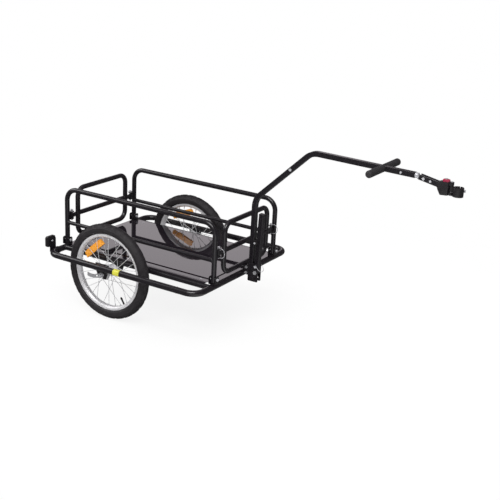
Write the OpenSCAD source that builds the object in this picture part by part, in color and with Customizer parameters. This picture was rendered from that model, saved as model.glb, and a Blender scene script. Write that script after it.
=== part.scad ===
// Two-wheeled cargo trailer for a bicycle: a bent-tube bed with side rails and pinned end
// gates, a square-tube drawbar with hand grips and a parking leg, and a swivelling hitch.
// X points forward to the hitch, Y to the left and Z up. The origin is on the ground,
// under the middle of the overall box.

/* [Wheels] */
// Outer diameter of the tyre
wheel_d = 396; // [388:2:402]
// Width of the tyre's section
tyre_w = 44; // [40:1:46]
// Thickness of the tyre's casing
tyre_wall = 3; // [2.5:0.5:4]
// Wall of the inner tube
inner_tube_wall = 1.2; // [1:0.1:2]
// Height of the tyre over the rim's flanges
tyre_h = 39; // [36:1:41]
// Width over the rim's flanges
rim_w = 27; // [25:0.5:29]
// Radial height of the rim
rim_h = 14; // [12:1:16]
// Spokes in one wheel
spoke_count = 28; // [20:4:36]
// Diameter of a spoke
spoke_d = 2; // [1.8:0.1:2.2]
// Diameter of the hub's flanges
hub_flange_d = 56; // [50:2:62]
// Diameter of the hub's barrel
hub_barrel_d = 30; // [26:1:36]
// Width of the hub shell
hub_w = 66; // [62:1:70]
// Diameter of the bearing cones
cone_d = 16; // [14:0.5:18]
// Diameter of the hollow wheel axle
axle_d = 9.5; // [9:0.5:10]
// Diameter of the quick release skewer
skewer_d = 5; // [4.5:0.1:5.2]
// Length of the quick release lever
lever_l = 50; // [45:1:56]
// Length of a spoke reflector
spoke_mark_l = 112; // [90:2:116]

/* [Bed frame] */
// Distance from the axle back to the rear cross tube
axle_to_rear = 272; // [250:2:300]
// Distance between the rear and front cross tubes, centre to centre
bed_l = 735; // [700:5:770]
// Distance between the two outer rails, centre to centre
bed_w = 672; // [668:1:690]
// Diameter of the bed's outer tube
bed_tube_d = 25; // [24:0.5:27]
// Radius of the bed's corners at the tube's centre
bed_corner_r = 48; // [42:2:56]
// Height of the bed's tubes above the axle
bed_rise = 32; // [29:1:38]
// Distance between the two inner rails, centre to centre
inner_w = 472; // [468:1:476]
// Diameter of the inner rails
inner_tube_d = 22; // [20:0.5:23]
// Wall of every round tube
tube_wall = 1.5; // [1.2:0.1:2]
// Distance from the middle of the trailer to a wheel's middle plane
wheel_y = 280; // [277:1:283]
// Thickness of the dropout plates
dropout_t = 3; // [2.5:0.5:4]

/* [Floor] */
// Thickness of the floor panel
floor_t = 1.5; // [1:0.5:2]
// Width of the floor panel
floor_w = 442; // [430:2:446]
// Height of the pressing in the middle of the floor
floor_step = 3; // [2:0.5:4]
// Width of the flat border on each long side
floor_border = 28; // [24:1:34]
// Diameter of the cross members under the floor
cross_tube_d = 20; // [16:1:21]

/* [Side rails and gates] */
// Diameter of the outer tube of the side rails and gates
rail_tube_d = 20; // [18:0.5:21]
// Diameter of the middle bars
mid_tube_d = 16; // [14:0.5:17]
// Distance between the two side rails, centre to centre
rails_w = 441; // [432:1:444]
// Height from the floor's border to the top of the side rails
box_h = 246; // [230:2:260]
// Radius of the side rails' top corners
rail_corner_r = 50; // [40:2:60]
// Height of the side rails' middle bar above the bed's tubes, centre to centre
rail_mid_h = 105; // [98:1:112]
// Distance between a gate's two uprights, centre to centre
gate_w = 312; // [304:2:320]
// Height of a gate's bottom bar above the bed's tubes, centre to centre
gate_low = 37; // [34:1:44]
// Height of a gate, centre to centre
gate_h = 200; // [190:2:206]
// Height of a gate's middle bar above its bottom bar
gate_mid = 94; // [88:1:98]
// Radius of a gate's corners
gate_corner_r = 38; // [30:2:45]
// Height of the side rails' pivot bolts above the bed's tubes
pivot_h = 31; // [29:0.5:34]
// Distance from a side rail's leg to the lock pin beside it
pin_out = 17.5; // [16:0.5:19]
// Height between the ears of a gate bracket, outside
ear_h = 32; // [30:1:38]

/* [Drawbar] */
// Width of the square tube
bar_w = 20; // [18:0.5:21]
// Wall of the square tube
bar_wall = 1.5; // [1.2:0.1:2]
// Distance from the front cross tube to the drawbar's upright part, centre to centre
bar_ahead = 34.5; // [34:0.5:38]
// Height of the drawbar's highest bend at the tube's centre
knee_z = 761; // [720:1:790]
// Distance from the upright part forward to the highest bend
knee_ahead = 233; // [220:1:250]
// Slope of the rising part, in degrees
rise_a = 43.6; // [40:0.2:46]
// Fall of the long run towards the hitch, in degrees
run_fall = 1.4; // [0:0.1:4]
// Radius of the drawbar's bends at the tube's centre
bend_r = 70; // [60:2:76]
// Length of the rising part up to the joint between the bar's two halves
joint_s = 178; // [150:2:190]
// Length of the spigot inside that joint
spigot_l = 60; // [50:2:64]
// Length of the long run from the highest bend to its open end
run_l = 409.5; // [380:0.5:440]
// Distance from the highest bend to the cross grip
grip_s = 287; // [260:1:310]
// Length of one hand grip
grip_l = 118; // [100:2:130]
// Diameter of a hand grip
grip_d = 27; // [25:0.5:32]
// Diameter of the tube inside the hand grips
hand_bar_d = 15; // [12:0.5:16]

/* [Bracket and parking leg] */
// Thickness of the bracket's cheeks
cheek_t = 3; // [2.5:0.5:4]
// Distance from the drawbar's upright part forward to the leg's pivot
leg_ahead = 24; // [23:0.5:26]
// Height of the leg's pivot above the ground
leg_pivot_z = 241; // [235:1:247]
// Distance from the pivot to each of the two lock holes
lock_pitch = 26; // [24:0.5:27]
// Forward lean of the folded leg, in degrees
leg_lean = 2.5; // [2:0.1:3]
// Diameter of the lock pins
pin_d = 6; // [5:0.5:6.5]
// Diameter of the wire on the lock pins
wire_d = 2; // [1.6:0.1:2.2]
// Diameter of the leg's pivot bolt
leg_bolt_d = 8; // [6:0.5:9]
// Diameter of the smaller bolts
small_bolt_d = 6; // [5:0.5:6.5]

/* [Hitch] */
// Droop of the hitch arm below the drawbar's line, in degrees
arm_droop = 9.6; // [6:0.2:14]
// Length of the hitch arm from its pivot to the head
arm_l = 52; // [48:1:60]
// Bore of the clamp for the bicycle's seat post
post_d = 27.2; // [25.4:0.2:28.6]
// Height of the seat post clamp
clamp_h = 32; // [28:1:34]
// Wall of the seat post clamp
clamp_wall = 5.5; // [5:0.25:6.5]
// Diameter of the king pin that the clamp turns on
king_d = 7; // [6:0.5:8]
// Width of the hitch head
head_w = 30; // [26:1:32]
// Travel of the release button
button_travel = 4; // [3:0.5:5]

/* [Fits] */
// Gap left at a weld or between two pieces that are bolted together
seat_gap = 0.1; // [0.05:0.05:0.2]
// Gap beside a piece that moves
move_gap = 0.3; // [0.2:0.05:0.4]
// Radial clearance of a shaft in its bearing
run_gap = 0.05; // [0.03:0.01:0.08]
// Radial clearance of a bolt in its hole
bolt_gap = 0.15; // [0.1:0.05:0.3]

/* [Hidden] */
$fn = 64;

frame_black = [0.09, 0.09, 0.1];
plastic_black = [0.13, 0.13, 0.14];
rubber_black = [0.17, 0.165, 0.175];
steel_silver = [0.75, 0.76, 0.78];
lever_grey = [0.62, 0.62, 0.64];
rim_silver = [0.83, 0.83, 0.85];

// Main places. X is counted from the axle until place() shifts it.
wheel_r = wheel_d / 2;
rim_d = wheel_d - 2 * tyre_h;
rim_in_r = rim_d / 2 - rim_h;
bed_z = wheel_r + bed_rise;
bed_top = bed_z + bed_tube_d / 2;
half_bed = bed_w / 2;
half_inner = inner_w / 2;
half_rails = rails_w / 2;
rear_x = -axle_to_rear;
front_x = bed_l - axle_to_rear;
corner_return = 40;
rail_top_z = bed_top + floor_t + box_h - rail_tube_d / 2;
rail_mid_z = bed_z + rail_mid_h;
pivot_z = bed_z + pivot_h;
gate_low_z = bed_z + gate_low;
gate_mid_z = gate_low_z + gate_mid;
half_gate = gate_w / 2;
pin_y = half_rails - rail_tube_d / 2 - pin_out;
member_in = 66;
member_xs = [rear_x + member_in, (rear_x + front_x) / 2, front_x - member_in];
rivet_y = (floor_w - floor_border) / 2;
rivet_d = 4;
rivet_head_d = 9;
rivet_dome_r = 8;
rivet_dome_h = 1.8;
rivet_l = 6;

// Drawbar and leg, in the plane of symmetry
bar_x = front_x + bar_ahead;
knee_x = bar_x + knee_ahead;
toe_z = knee_z - knee_ahead * tan(rise_a);
rise_l = knee_ahead / cos(rise_a);
lap = 0.3;
bend_swell = 0.1;
low_turn = 90 - rise_a;
top_turn = rise_a + run_fall;
low_cut = bend_r * tan(low_turn / 2);
top_cut = bend_r * tan(top_turn / 2);
joint_bolt_s = joint_s + spigot_l / 2;
end_rivet_s = grip_s + 70.5;
end_rivet_d = 5;
cheek_y = bar_w / 2 + seat_gap;
leg_w = bar_w - 2 * (move_gap - seat_gap);
leg_x = bar_x + leg_ahead;
leg_l = leg_pivot_z + 2;
cheek_low = leg_pivot_z - lock_pitch - 13;
cheek_high = leg_pivot_z + lock_pitch + 12;
foot_high = cheek_low + 3;

// Hitch, along the run from its highest bend
shank_d = 8;
shank_l = 26;
collar_t = 11.5;
eye_s = run_l + 34;
eye_drop = 5;
tongue_r = 7;
tongue_h = 12;
hitch_x = knee_x + eye_s * cos(run_fall) - eye_drop * sin(run_fall);
hitch_z = knee_z - eye_s * sin(run_fall) - eye_drop * cos(run_fall);
arm_a = run_fall + arm_droop;
arm_back = 18;
rivet_s = 26;
head_x = hitch_x + arm_l * cos(arm_a);
head_z = hitch_z - arm_l * sin(arm_a);
head_back = 49;
head_below = 32;
beak_top = 15;
king_cap_t = 1.5;
king_cap_d = king_d + 4;
king_x = head_x + head_back;
eye_r = king_d / 2 + 4;
ring_r = post_d / 2 + clamp_wall;
post_x = king_x + eye_r + ring_r - 1;
clamp_z = head_z - clamp_h / 2;
ear_bolt_y = ring_r + 7;

// Rear reflector
mark_t = 12;
mark_w = 48;
mark_h = 44;
mark_y = -302;
mark_z = bed_z + 39;
mark_x = rear_x - bed_tube_d / 2 - 2.6;

// Lock pins and their wire bows; the rear bows are the rearmost point of the trailer.
// mid_x is the shift that puts the origin under the middle of the overall box.
pin_head_h = 8;
pin_l = 40;
wire_span = pin_head_h / 2 + pin_l - 4.5;
wire_reach = 10;
rear_end = rear_x - wire_reach - wire_span / 2 - wire_d / 2;
front_end = post_x + ring_r;
mid_x = (rear_end + front_end) / 2;

module place() translate([-mid_x, 0, 0]) children();

module on_side(side) {
    if (side == "left") children();
    else mirror([0, 1, 0]) children();
}

module both_sides() {
    children();
    mirror([0, 1, 0]) children();
}

// Round bars along an axis
module bar_along_x(x0, x1, d) translate([x0, 0, 0]) rotate([0, 90, 0]) cylinder(d = d, h = x1 - x0);
module bar_along_y(y0, y1, d) translate([0, y0, 0]) rotate([-90, 0, 0]) cylinder(d = d, h = y1 - y0);
module bar_along_z(z0, z1, d) translate([0, 0, z0]) cylinder(d = d, h = z1 - z0);

// Flat plates drawn in a plane and given a thickness
module plate_xz(y0, t) translate([0, y0 + t, 0]) rotate([90, 0, 0]) linear_extrude(t) children();
module plate_yz(x0, t) translate([x0, 0, 0]) rotate([90, 0, 90]) linear_extrude(t) children();

// Quarter bends of a round bar in each plane
module bend_xy(r, d, start) {
    rotate([0, 0, start]) rotate_extrude(angle = 90) translate([r, 0]) circle(d = d);
}

module bend_xz(r, d, start) rotate([90, 0, 0]) bend_xy(r, d, start);
module bend_yz(r, d, start) rotate([90, 0, 90]) bend_xy(r, d, start);

module rounded_rect(w, h, r) {
    square([w - 2 * r, h], center = true);
    square([w, h - 2 * r], center = true);
    for (sx = [-1, 1], sy = [-1, 1]) translate([sx * (w / 2 - r), sy * (h / 2 - r)]) circle(r);
}

// Hex head or nut, standing on z = 0
module hex(across, h) cylinder(d = across / cos(30), h = h, $fn = 6);

// Bolt along Z: a hex head below z = 0, a shank, and a nut above z = grip
module hex_bolt(d, grip) {
    translate([0, 0, -0.65 * d]) hex(1.65 * d, 0.65 * d);
    cylinder(d = d, h = grip + d);
    translate([0, 0, grip]) hex(1.65 * d, 0.8 * d);
}

// Bed frame

module straight_tube(x0, x1, d) {
    difference() {
        bar_along_x(x0, x1, d);
        bar_along_x(x0 + tube_wall, x1 - tube_wall, d - 2 * tube_wall);
    }
}

module outer_rail(side) {
    end = bed_corner_r + corner_return;
    color(frame_black) place() on_side(side) translate([0, half_bed, bed_z])
        straight_tube(rear_x + end, front_x - end, bed_tube_d);
}

module end_bow(d, trim) {
    flat = half_bed - bed_corner_r;
    bar_along_y(-flat, flat, d);
    both_sides() translate([-bed_corner_r, flat, 0]) {
        bend_xy(bed_corner_r, d, 0);
        translate([0, bed_corner_r, 0]) bar_along_x(-corner_return + trim, 0, d);
    }
}

module end_tube() {
    difference() {
        end_bow(bed_tube_d, seat_gap);
        end_bow(bed_tube_d - 2 * tube_wall, seat_gap + tube_wall);
    }
}

module front_tube() color(frame_black) place() translate([front_x, 0, bed_z]) end_tube();
module rear_tube() color(frame_black) place() translate([rear_x, 0, bed_z]) mirror([1, 0, 0]) end_tube();

module inner_rails() {
    color(frame_black) place() both_sides() translate([0, half_inner, bed_z]) difference() {
        bar_along_x(rear_x, front_x, inner_tube_d);
        bar_along_x(rear_x + bed_tube_d, front_x - bed_tube_d, inner_tube_d - 2 * tube_wall);
        for (x = [rear_x, front_x]) translate([x, 0, 0])
            bar_along_y(-inner_tube_d, inner_tube_d, bed_tube_d + 2 * seat_gap);
    }
}

module cross_members() {
    low = bed_top - cross_tube_d / 2;
    inside = half_inner - inner_tube_d;
    color(frame_black) place() for (x = member_xs) translate([x, 0, low]) difference() {
        bar_along_y(-half_inner, half_inner, cross_tube_d);
        bar_along_y(-inside, inside, cross_tube_d - 2 * tube_wall);
        for (s = [-1, 1]) translate([0, s * half_inner, bed_z - low])
            bar_along_x(-cross_tube_d, cross_tube_d, inner_tube_d + 2 * seat_gap);
        for (s = [-1, 1]) translate([0, s * rivet_y, 0])
            cylinder(d = rivet_d + 2 * bolt_gap, h = cross_tube_d);
    }
}

// Floor: a flat border with a raised middle, cut away at the four foot brackets
module floor_blank(x0, x1, w, h) translate([x0, -w / 2, 0]) cube([x1 - x0, w, h]);

module floor_panel() {
    inset = floor_border;
    inner = inset + floor_t;
    notch_x = bracket_out * 2 + 4;
    notch_y = floor_w - rails_w + bracket_w + 6;
    color(plastic_black) place() translate([0, 0, bed_top + seat_gap]) difference() {
        union() {
            floor_blank(rear_x, front_x, floor_w, floor_t);
            floor_blank(rear_x + inset, front_x - inset, floor_w - 2 * inset, floor_t + floor_step);
        }
        translate([0, 0, -floor_t])
            floor_blank(rear_x + inner, front_x - inner, floor_w - 2 * inner, floor_t + floor_step);
        for (x = [rear_x, front_x], s = [-1, 1]) translate([x, s * floor_w / 2, 0])
            cube([notch_x, notch_y, 4 * floor_t], center = true);
        for (x = member_xs, s = [-1, 1]) translate([x, s * rivet_y, -1])
            cylinder(d = rivet_d + 2 * bolt_gap, h = 4 * floor_t);
    }
}

module floor_rivets() {
    color(steel_silver) place() for (x = member_xs, s = [-1, 1])
        translate([x, s * rivet_y, bed_top + floor_t + 2 * seat_gap]) {
            intersection() {
                translate([0, 0, rivet_dome_h - rivet_dome_r]) sphere(r = rivet_dome_r);
                cylinder(d = rivet_head_d, h = rivet_dome_h + 1);
            }
            translate([0, 0, -rivet_l]) cylinder(d = rivet_d, h = rivet_l + seat_gap);
        }
}

// Dropout plates: a tab under each rail with a slot for the axle
dropout_w = 66;
dropout_end_w = 38;
dropout_below = 17;
dropout_band = 8;
dropout_hole_d = 5;
dropout_hole_x = 24;
slot_w = axle_d + 0.5;

module dropout_outline(high) {
    low = -bed_rise - dropout_below;
    wide = dropout_w / 2;
    tip = dropout_end_w / 2;
    difference() {
        union() {
            translate([-wide, -dropout_band]) square([dropout_w, high + dropout_band]);
            polygon([[-wide, -dropout_band], [wide, -dropout_band], [tip, low], [-tip, low]]);
        }
        translate([0, -bed_rise]) circle(d = slot_w);
        translate([-slot_w / 2, low - 1]) square([slot_w, dropout_below + 1]);
        for (s = [-1, 1]) translate([s * dropout_hole_x, -dropout_band]) circle(d = dropout_hole_d);
    }
}

outer_plate_y = half_bed - bed_tube_d / 2 - seat_gap - dropout_t;
inner_plate_y = half_inner - inner_tube_d / 2 - seat_gap - dropout_t;

module dropouts() {
    color(frame_black) place() both_sides() translate([0, 0, bed_z]) {
        plate_xz(outer_plate_y, dropout_t) dropout_outline(bed_tube_d / 2);
        plate_xz(inner_plate_y, dropout_t) dropout_outline(inner_tube_d / 2);
    }
}

// Foot brackets: an open-topped channel on the cross tube at each foot of the side rails
bracket_t = 2.5;
bracket_w = 26;
bracket_in = rail_tube_d / 2 + 2.6;
bracket_out = bracket_in + bracket_t;
bracket_over = 12;
bracket_corner_r = 7;

module bracket_plate(top) {
    r = bracket_corner_r;
    translate([-bracket_w / 2, seat_gap]) square([bracket_w, top - r]);
    translate([r - bracket_w / 2, seat_gap]) square([bracket_w - 2 * r, top]);
    for (e = [-1, 1]) translate([e * (bracket_w / 2 - r), top - r + seat_gap]) circle(r);
}

module foot_bracket() {
    top = pivot_z - bed_top + bracket_over;
    difference() {
        union() {
            for (x = [bracket_in, -bracket_out]) plate_yz(x, bracket_t) bracket_plate(top);
            translate([-bracket_out, -bracket_w / 2, seat_gap]) cube([2 * bracket_out, bracket_w, bracket_t]);
        }
        translate([0, 0, pivot_z - bed_top])
            bar_along_x(-2 * bracket_out, 2 * bracket_out, small_bolt_d + 2 * bolt_gap);
    }
}

module at_feet() for (x = [rear_x, front_x], y = [-half_rails, half_rails]) translate([x, y, 0]) children();

module foot_brackets() color(frame_black) place() at_feet() translate([0, 0, bed_top]) foot_bracket();

module foot_bolts() {
    grip = 2 * bracket_out + 2 * seat_gap;
    color(steel_silver) place() at_feet() translate([-grip / 2, 0, pivot_z]) rotate([0, 90, 0])
        hex_bolt(small_bolt_d, grip);
}

// Side rails: an inverted U with a middle bar
foot_below = 13;

module rail_bow(d, low) {
    r = rail_corner_r;
    for (x = [rear_x, front_x]) translate([x, 0, 0]) bar_along_z(low, rail_top_z - r, d);
    translate([0, 0, rail_top_z]) bar_along_x(rear_x + r, front_x - r, d);
    translate([front_x - r, 0, rail_top_z - r]) bend_xz(r, d, 0);
    translate([rear_x + r, 0, rail_top_z - r]) bend_xz(r, d, 90);
}

module side_rail(side) {
    foot = pivot_z - foot_below;
    color(frame_black) place() on_side(side) translate([0, half_rails, 0]) difference() {
        union() {
            rail_bow(rail_tube_d, foot);
            translate([0, 0, rail_mid_z]) bar_along_x(rear_x, front_x, mid_tube_d);
        }
        rail_bow(rail_tube_d - 2 * tube_wall, pivot_z + foot_below);
        translate([0, 0, rail_mid_z])
            bar_along_x(rear_x + rail_tube_d, front_x - rail_tube_d, mid_tube_d - 2 * tube_wall);
        translate([0, 0, pivot_z])
            bar_along_x(rear_x - rail_tube_d, front_x + rail_tube_d, small_bolt_d + 2 * bolt_gap);
    }
}

// Gates: a closed loop with a middle bar, and a sleeve on each side for the lock pin
module gate_loop(d) {
    r = gate_corner_r;
    flat = half_gate - r;
    for (z = [0, gate_h]) translate([0, 0, z]) bar_along_y(-flat, flat, d);
    for (s = [-1, 1]) translate([0, s * half_gate, 0]) bar_along_z(r, gate_h - r, d);
    translate([0, flat, gate_h - r]) bend_yz(r, d, 0);
    translate([0, -flat, gate_h - r]) bend_yz(r, d, 90);
    translate([0, -flat, r]) bend_yz(r, d, 180);
    translate([0, flat, r]) bend_yz(r, d, 270);
}

sleeve_h = ear_h - 10;
sleeve_wall = 3;
web_t = 6;
web_in = 2;
ear_t = 3;
ear_r = 9;
sleeve_z = gate_mid - ear_h / 2 + ear_t + seat_gap + sleeve_h / 2;

module gate() {
    translate([0, 0, gate_low_z]) difference() {
        union() {
            gate_loop(rail_tube_d);
            translate([0, 0, gate_mid]) bar_along_y(-half_gate, half_gate, mid_tube_d);
            both_sides() translate([0, pin_y, sleeve_z])
                cylinder(d = pin_d + 2 * sleeve_wall, h = sleeve_h, center = true);
            both_sides() translate([0, (pin_y + half_gate) / 2, sleeve_z])
                cube([web_t, pin_y - half_gate, sleeve_h - 2 * web_in], center = true);
        }
        gate_loop(rail_tube_d - 2 * tube_wall);
        translate([0, 0, gate_mid])
            bar_along_y(-half_gate + rail_tube_d, half_gate - rail_tube_d, mid_tube_d - 2 * tube_wall);
        both_sides() translate([0, pin_y, sleeve_z])
            cylinder(d = pin_d + 2 * bolt_gap, h = 2 * sleeve_h, center = true);
    }
}

module gate_front() color(frame_black) place() translate([front_x, 0, 0]) gate();
module gate_rear() color(frame_black) place() translate([rear_x, 0, 0]) gate();

// Gate brackets: a C of plate on the side rail's leg, with two ears around the sleeve
module gate_bracket() {
    back = half_rails - rail_tube_d / 2 - seat_gap;
    difference() {
        union() {
            translate([-ear_r, back - ear_t, -ear_h / 2]) cube([2 * ear_r, ear_t, ear_h]);
            for (z = [-ear_h / 2, ear_h / 2 - ear_t]) translate([0, 0, z]) {
                translate([-ear_r, pin_y, 0]) cube([2 * ear_r, back - pin_y, ear_t]);
                translate([0, pin_y, 0]) cylinder(r = ear_r, h = ear_t);
            }
        }
        translate([0, pin_y, -ear_h]) cylinder(d = pin_d + 2 * bolt_gap, h = 2 * ear_h);
    }
}

module gate_brackets() {
    color(frame_black) place() both_sides() for (x = [rear_x, front_x])
        translate([x, 0, gate_mid_z]) gate_bracket();
}

// Lock pin along Z, pointing down: the seat of its flattened head is at z = 0
pin_head_d = pin_d + 4;
pin_point = 2;
pin_point_d = pin_d - 2.5;

module lock_pin() {
    difference() {
        intersection() {
            cylinder(d = pin_head_d, h = pin_head_h);
            translate([0, 0, pin_head_h / 2]) cube([pin_head_d, pin_d, pin_head_h], center = true);
        }
        translate([0, 0, pin_head_h / 2]) bar_along_y(-pin_d, pin_d, wire_d + 2 * run_gap);
    }
    translate([0, 0, -pin_l + pin_point]) cylinder(d = pin_d, h = pin_l - pin_point);
    translate([0, 0, -pin_l]) cylinder(d1 = pin_point_d, d2 = pin_d, h = pin_point);
}

// Wire of a lock pin: a trunnion in the head and a D-shaped bow that ends beside the tail.
// The bow is drawn in the XZ plane, opening towards the pin, from z = 0 downwards.

module pin_wire() {
    r = wire_span / 2;
    side = pin_d / 2 + wire_d / 2 + move_gap;
    bar_along_y(-side, side, wire_d);
    translate([0, side, 0]) {
        sphere(d = wire_d);
        bar_along_x(0, wire_reach, wire_d);
        translate([wire_reach, 0, -r]) bend_xz(r, wire_d, 0);
        translate([wire_reach, 0, -r]) bend_xz(r, wire_d, 270);
        translate([0, 0, -wire_span]) bar_along_x(-pin_d / 2, wire_reach, wire_d);
    }
}

gate_pin_z = gate_mid_z + ear_h / 2 + seat_gap;

module lock_pins() {
    color(steel_silver) place() {
        for (x = [rear_x, front_x], y = [-pin_y, pin_y]) translate([x, y, gate_pin_z]) lock_pin();
        on_leg_pin() rotate([0, 0, -wire_a]) lock_pin();
    }
}

// The bows point away from the box, forward at the front and back at the rear
module gate_wire(end, side) {
    color(steel_silver) place() on_side(side)
        translate([end == "front" ? front_x : rear_x, pin_y, gate_pin_z + pin_head_h / 2])
        rotate([0, 0, end == "front" ? 0 : 180]) pin_wire();
}

// Drawbar

bar_r = 2;
bore_r = 0.8;
bar_bore = bar_w - 2 * bar_wall;
plug_l = 12;

module bar_section(w, r) rounded_rect(w, w, r);

// Straight square bar along X
module square_run(x0, x1, w, r) {
    translate([x0, 0, 0]) rotate([90, 0, 90]) linear_extrude(x1 - x0) bar_section(w, r);
}

module square_bend(w, r, start, turn) {
    rotate([90, 0, 0]) rotate([0, 0, start]) rotate_extrude(angle = turn)
        translate([bend_r, 0]) bar_section(w, r);
}

// Hole for a bolt or pin across the bar
module cross_hole(d) bar_along_y(-bar_w, bar_w, d + 2 * bolt_gap);

module on_rise(s) translate([bar_x, 0, toe_z]) rotate([0, -rise_a, 0]) translate([s, 0, 0]) children();
module on_run(s) translate([knee_x, 0, knee_z]) rotate([0, run_fall, 0]) translate([s, 0, 0]) children();

// The straight runs reach a little into the bends, which are a hair thicker
module lower_path(w, r, low, end) {
    translate([bar_x, 0, low]) linear_extrude(toe_z - low_cut - low + lap) bar_section(w, r);
    translate([bar_x + bend_r, 0, toe_z - low_cut])
        square_bend(w + bend_swell, r, 180 - low_turn, low_turn);
    on_rise(0) square_run(low_cut - lap, end, w, r);
}

module upper_path(w, r, start, end) {
    on_rise(0) square_run(start, rise_l - top_cut + lap, w, r);
    on_rise(rise_l - top_cut) translate([0, 0, -bend_r]) rotate([0, rise_a, 0])
        square_bend(w + bend_swell, r, 90 - run_fall, top_turn);
    on_run(0) square_run(top_cut - lap, end, w, r);
}

module drawbar_lower() {
    color(frame_black) place() difference() {
        union() {
            lower_path(bar_w, bar_r, foot_high, joint_s - seat_gap);
            on_rise(0) square_run(joint_s - 1, joint_s + spigot_l, bar_bore - 2 * bolt_gap, bore_r);
        }
        lower_path(bar_bore, bore_r, foot_high + plug_l, joint_s - plug_l);
        on_rise(joint_bolt_s) cross_hole(small_bolt_d);
    }
}

module drawbar_upper() {
    color(frame_black) place() difference() {
        upper_path(bar_w, bar_r, joint_s, run_l);
        upper_path(bar_bore, bore_r, joint_s - 1, grip_s - bar_w);
        on_run(0) square_run(grip_s + bar_w, run_l - shank_l - plug_l, bar_bore, bore_r);
        on_rise(joint_bolt_s) cross_hole(small_bolt_d);
        on_run(grip_s) bar_along_y(-bar_w, bar_w, hand_bar_d + 2 * seat_gap);
        on_run(end_rivet_s) cross_hole(end_rivet_d);
        on_run(0) bar_along_x(run_l - shank_l - 1, run_l + 1, shank_d + 2 * run_gap);
    }
}

// Rivet along Z with a flat head at each end
rivet_cap_t = 1.2;
rivet_cap_d = 8.6;

module flat_rivet(d, grip) {
    cylinder(d = d, h = grip);
    for (z = [-rivet_cap_t, grip]) translate([0, 0, z]) cylinder(d = rivet_cap_d, h = rivet_cap_t);
}

// Bolts and the rivet across the drawbar, and the clip's screw
module drawbar_bolts() {
    grip = bar_w + 2 * seat_gap;
    color(steel_silver) place() {
        on_rise(joint_bolt_s) translate([0, -grip / 2, 0]) rotate([-90, 0, 0]) hex_bolt(small_bolt_d, grip);
        on_run(end_rivet_s) translate([0, -grip / 2, 0]) rotate([-90, 0, 0]) flat_rivet(end_rivet_d, grip);
        translate([clip_screw_x, -clip_lip - seat_gap, clip_z]) rotate([90, 0, 0]) {
            cylinder(d = clip_screw_d * 2, h = clip_screw_d * 0.6);
            translate([0, 0, -clip_screw_l]) cylinder(d = clip_screw_d, h = clip_screw_l + seat_gap);
        }
    }
}

grip_end_r = 8;

module hand_bar() {
    out = bar_w / 2 + grip_l - grip_end_r;
    color(steel_silver) place() on_run(grip_s) bar_along_y(-out, out, hand_bar_d);
}

module hand_grips() {
    r = grip_d / 2;
    soft = grip_end_r;
    out = bar_w / 2 + grip_l - soft;
    color(rubber_black) place() on_run(grip_s) both_sides() difference() {
        union() {
            bar_along_y(bar_w / 2 + seat_gap, out, grip_d);
            translate([0, out, 0]) rotate([-90, 0, 0]) rotate_extrude() {
                square([r - soft, soft]);
                intersection() {
                    translate([r - soft, 0]) circle(soft);
                    square([r, soft]);
                }
            }
        }
        bar_along_y(0, out + seat_gap, hand_bar_d + 2 * seat_gap);
    }
}

// Bracket under the front cross tube: two cheeks and a lug that carry the drawbar and the leg

lug_bolt_x = bar_x - 17;
lug_bolt_pitch = 23;
lug_bolt_zs = [bed_z + 27, bed_z + 27 - lug_bolt_pitch];
lug_over = 9;
lug_back = 6;
cheek_back = 9.5;
cheek_front = 11.5;
cheek_lug = 24;
cheek_r = 4;

module cheek_outline() {
    back = bar_x - cheek_back;
    front = leg_x + cheek_front;
    difference() {
        union() {
            translate([(back + front) / 2, (cheek_low + cheek_high) / 2])
                rounded_rect(front - back, cheek_high - cheek_low, cheek_r);
            translate([bar_x - cheek_lug / 2, (lug_bolt_zs[0] + lug_bolt_zs[1]) / 2])
                rounded_rect(cheek_lug, lug_bolt_pitch + 2 * lug_over, cheek_r);
        }
        translate([front_x, bed_z]) circle(d = bed_tube_d + 2 * seat_gap);
        translate([front_x, gate_low_z]) circle(d = rail_tube_d + 2 * move_gap);
        translate([leg_x, leg_pivot_z]) circle(d = leg_bolt_d + 2 * bolt_gap);
        for (z = lug_bolt_zs) translate([lug_bolt_x, z]) circle(d = small_bolt_d + 2 * bolt_gap);
        for (s = [-1, 1]) translate([leg_x, leg_pivot_z] + s * lock_pitch * [sin(leg_lean), cos(leg_lean)])
            circle(d = pin_d + 2 * bolt_gap);
    }
}

module drawbar_bracket() {
    lug_front = bar_x - bar_w / 2 - seat_gap;
    lug_low = lug_bolt_zs[1] - lug_over;
    lug_high = lug_bolt_zs[0] + lug_over;
    color(frame_black) place() {
        for (y = [cheek_y, -cheek_y - cheek_t]) plate_xz(y, cheek_t) cheek_outline();
        difference() {
            translate([front_x + lug_back, -cheek_y + seat_gap, lug_low])
                cube([lug_front - front_x - lug_back, 2 * (cheek_y - seat_gap), lug_high - lug_low]);
            translate([front_x, 0, bed_z]) bar_along_y(-bar_w, bar_w, bed_tube_d + 2 * seat_gap);
            translate([front_x, 0, gate_low_z]) bar_along_y(-bar_w, bar_w, rail_tube_d + 2);
            for (z = lug_bolt_zs) translate([lug_bolt_x, 0, z]) cross_hole(small_bolt_d);
        }
    }
}

module bracket_bolts() {
    grip = 2 * (cheek_y + cheek_t + seat_gap);
    color(steel_silver) place() {
        for (z = lug_bolt_zs) translate([lug_bolt_x, -grip / 2, z]) rotate([-90, 0, 0])
            hex_bolt(small_bolt_d, grip);
        translate([leg_x, -grip / 2, leg_pivot_z]) rotate([-90, 0, 0]) hex_bolt(leg_bolt_d, grip);
    }
}

module on_leg(s) {
    translate([leg_x, 0, leg_pivot_z]) rotate([0, leg_lean, 0]) translate([0, 0, s]) children();
}

module leg_section(gap, r) rounded_rect(bar_w + 2 * gap, leg_w + 2 * gap, r);

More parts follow.
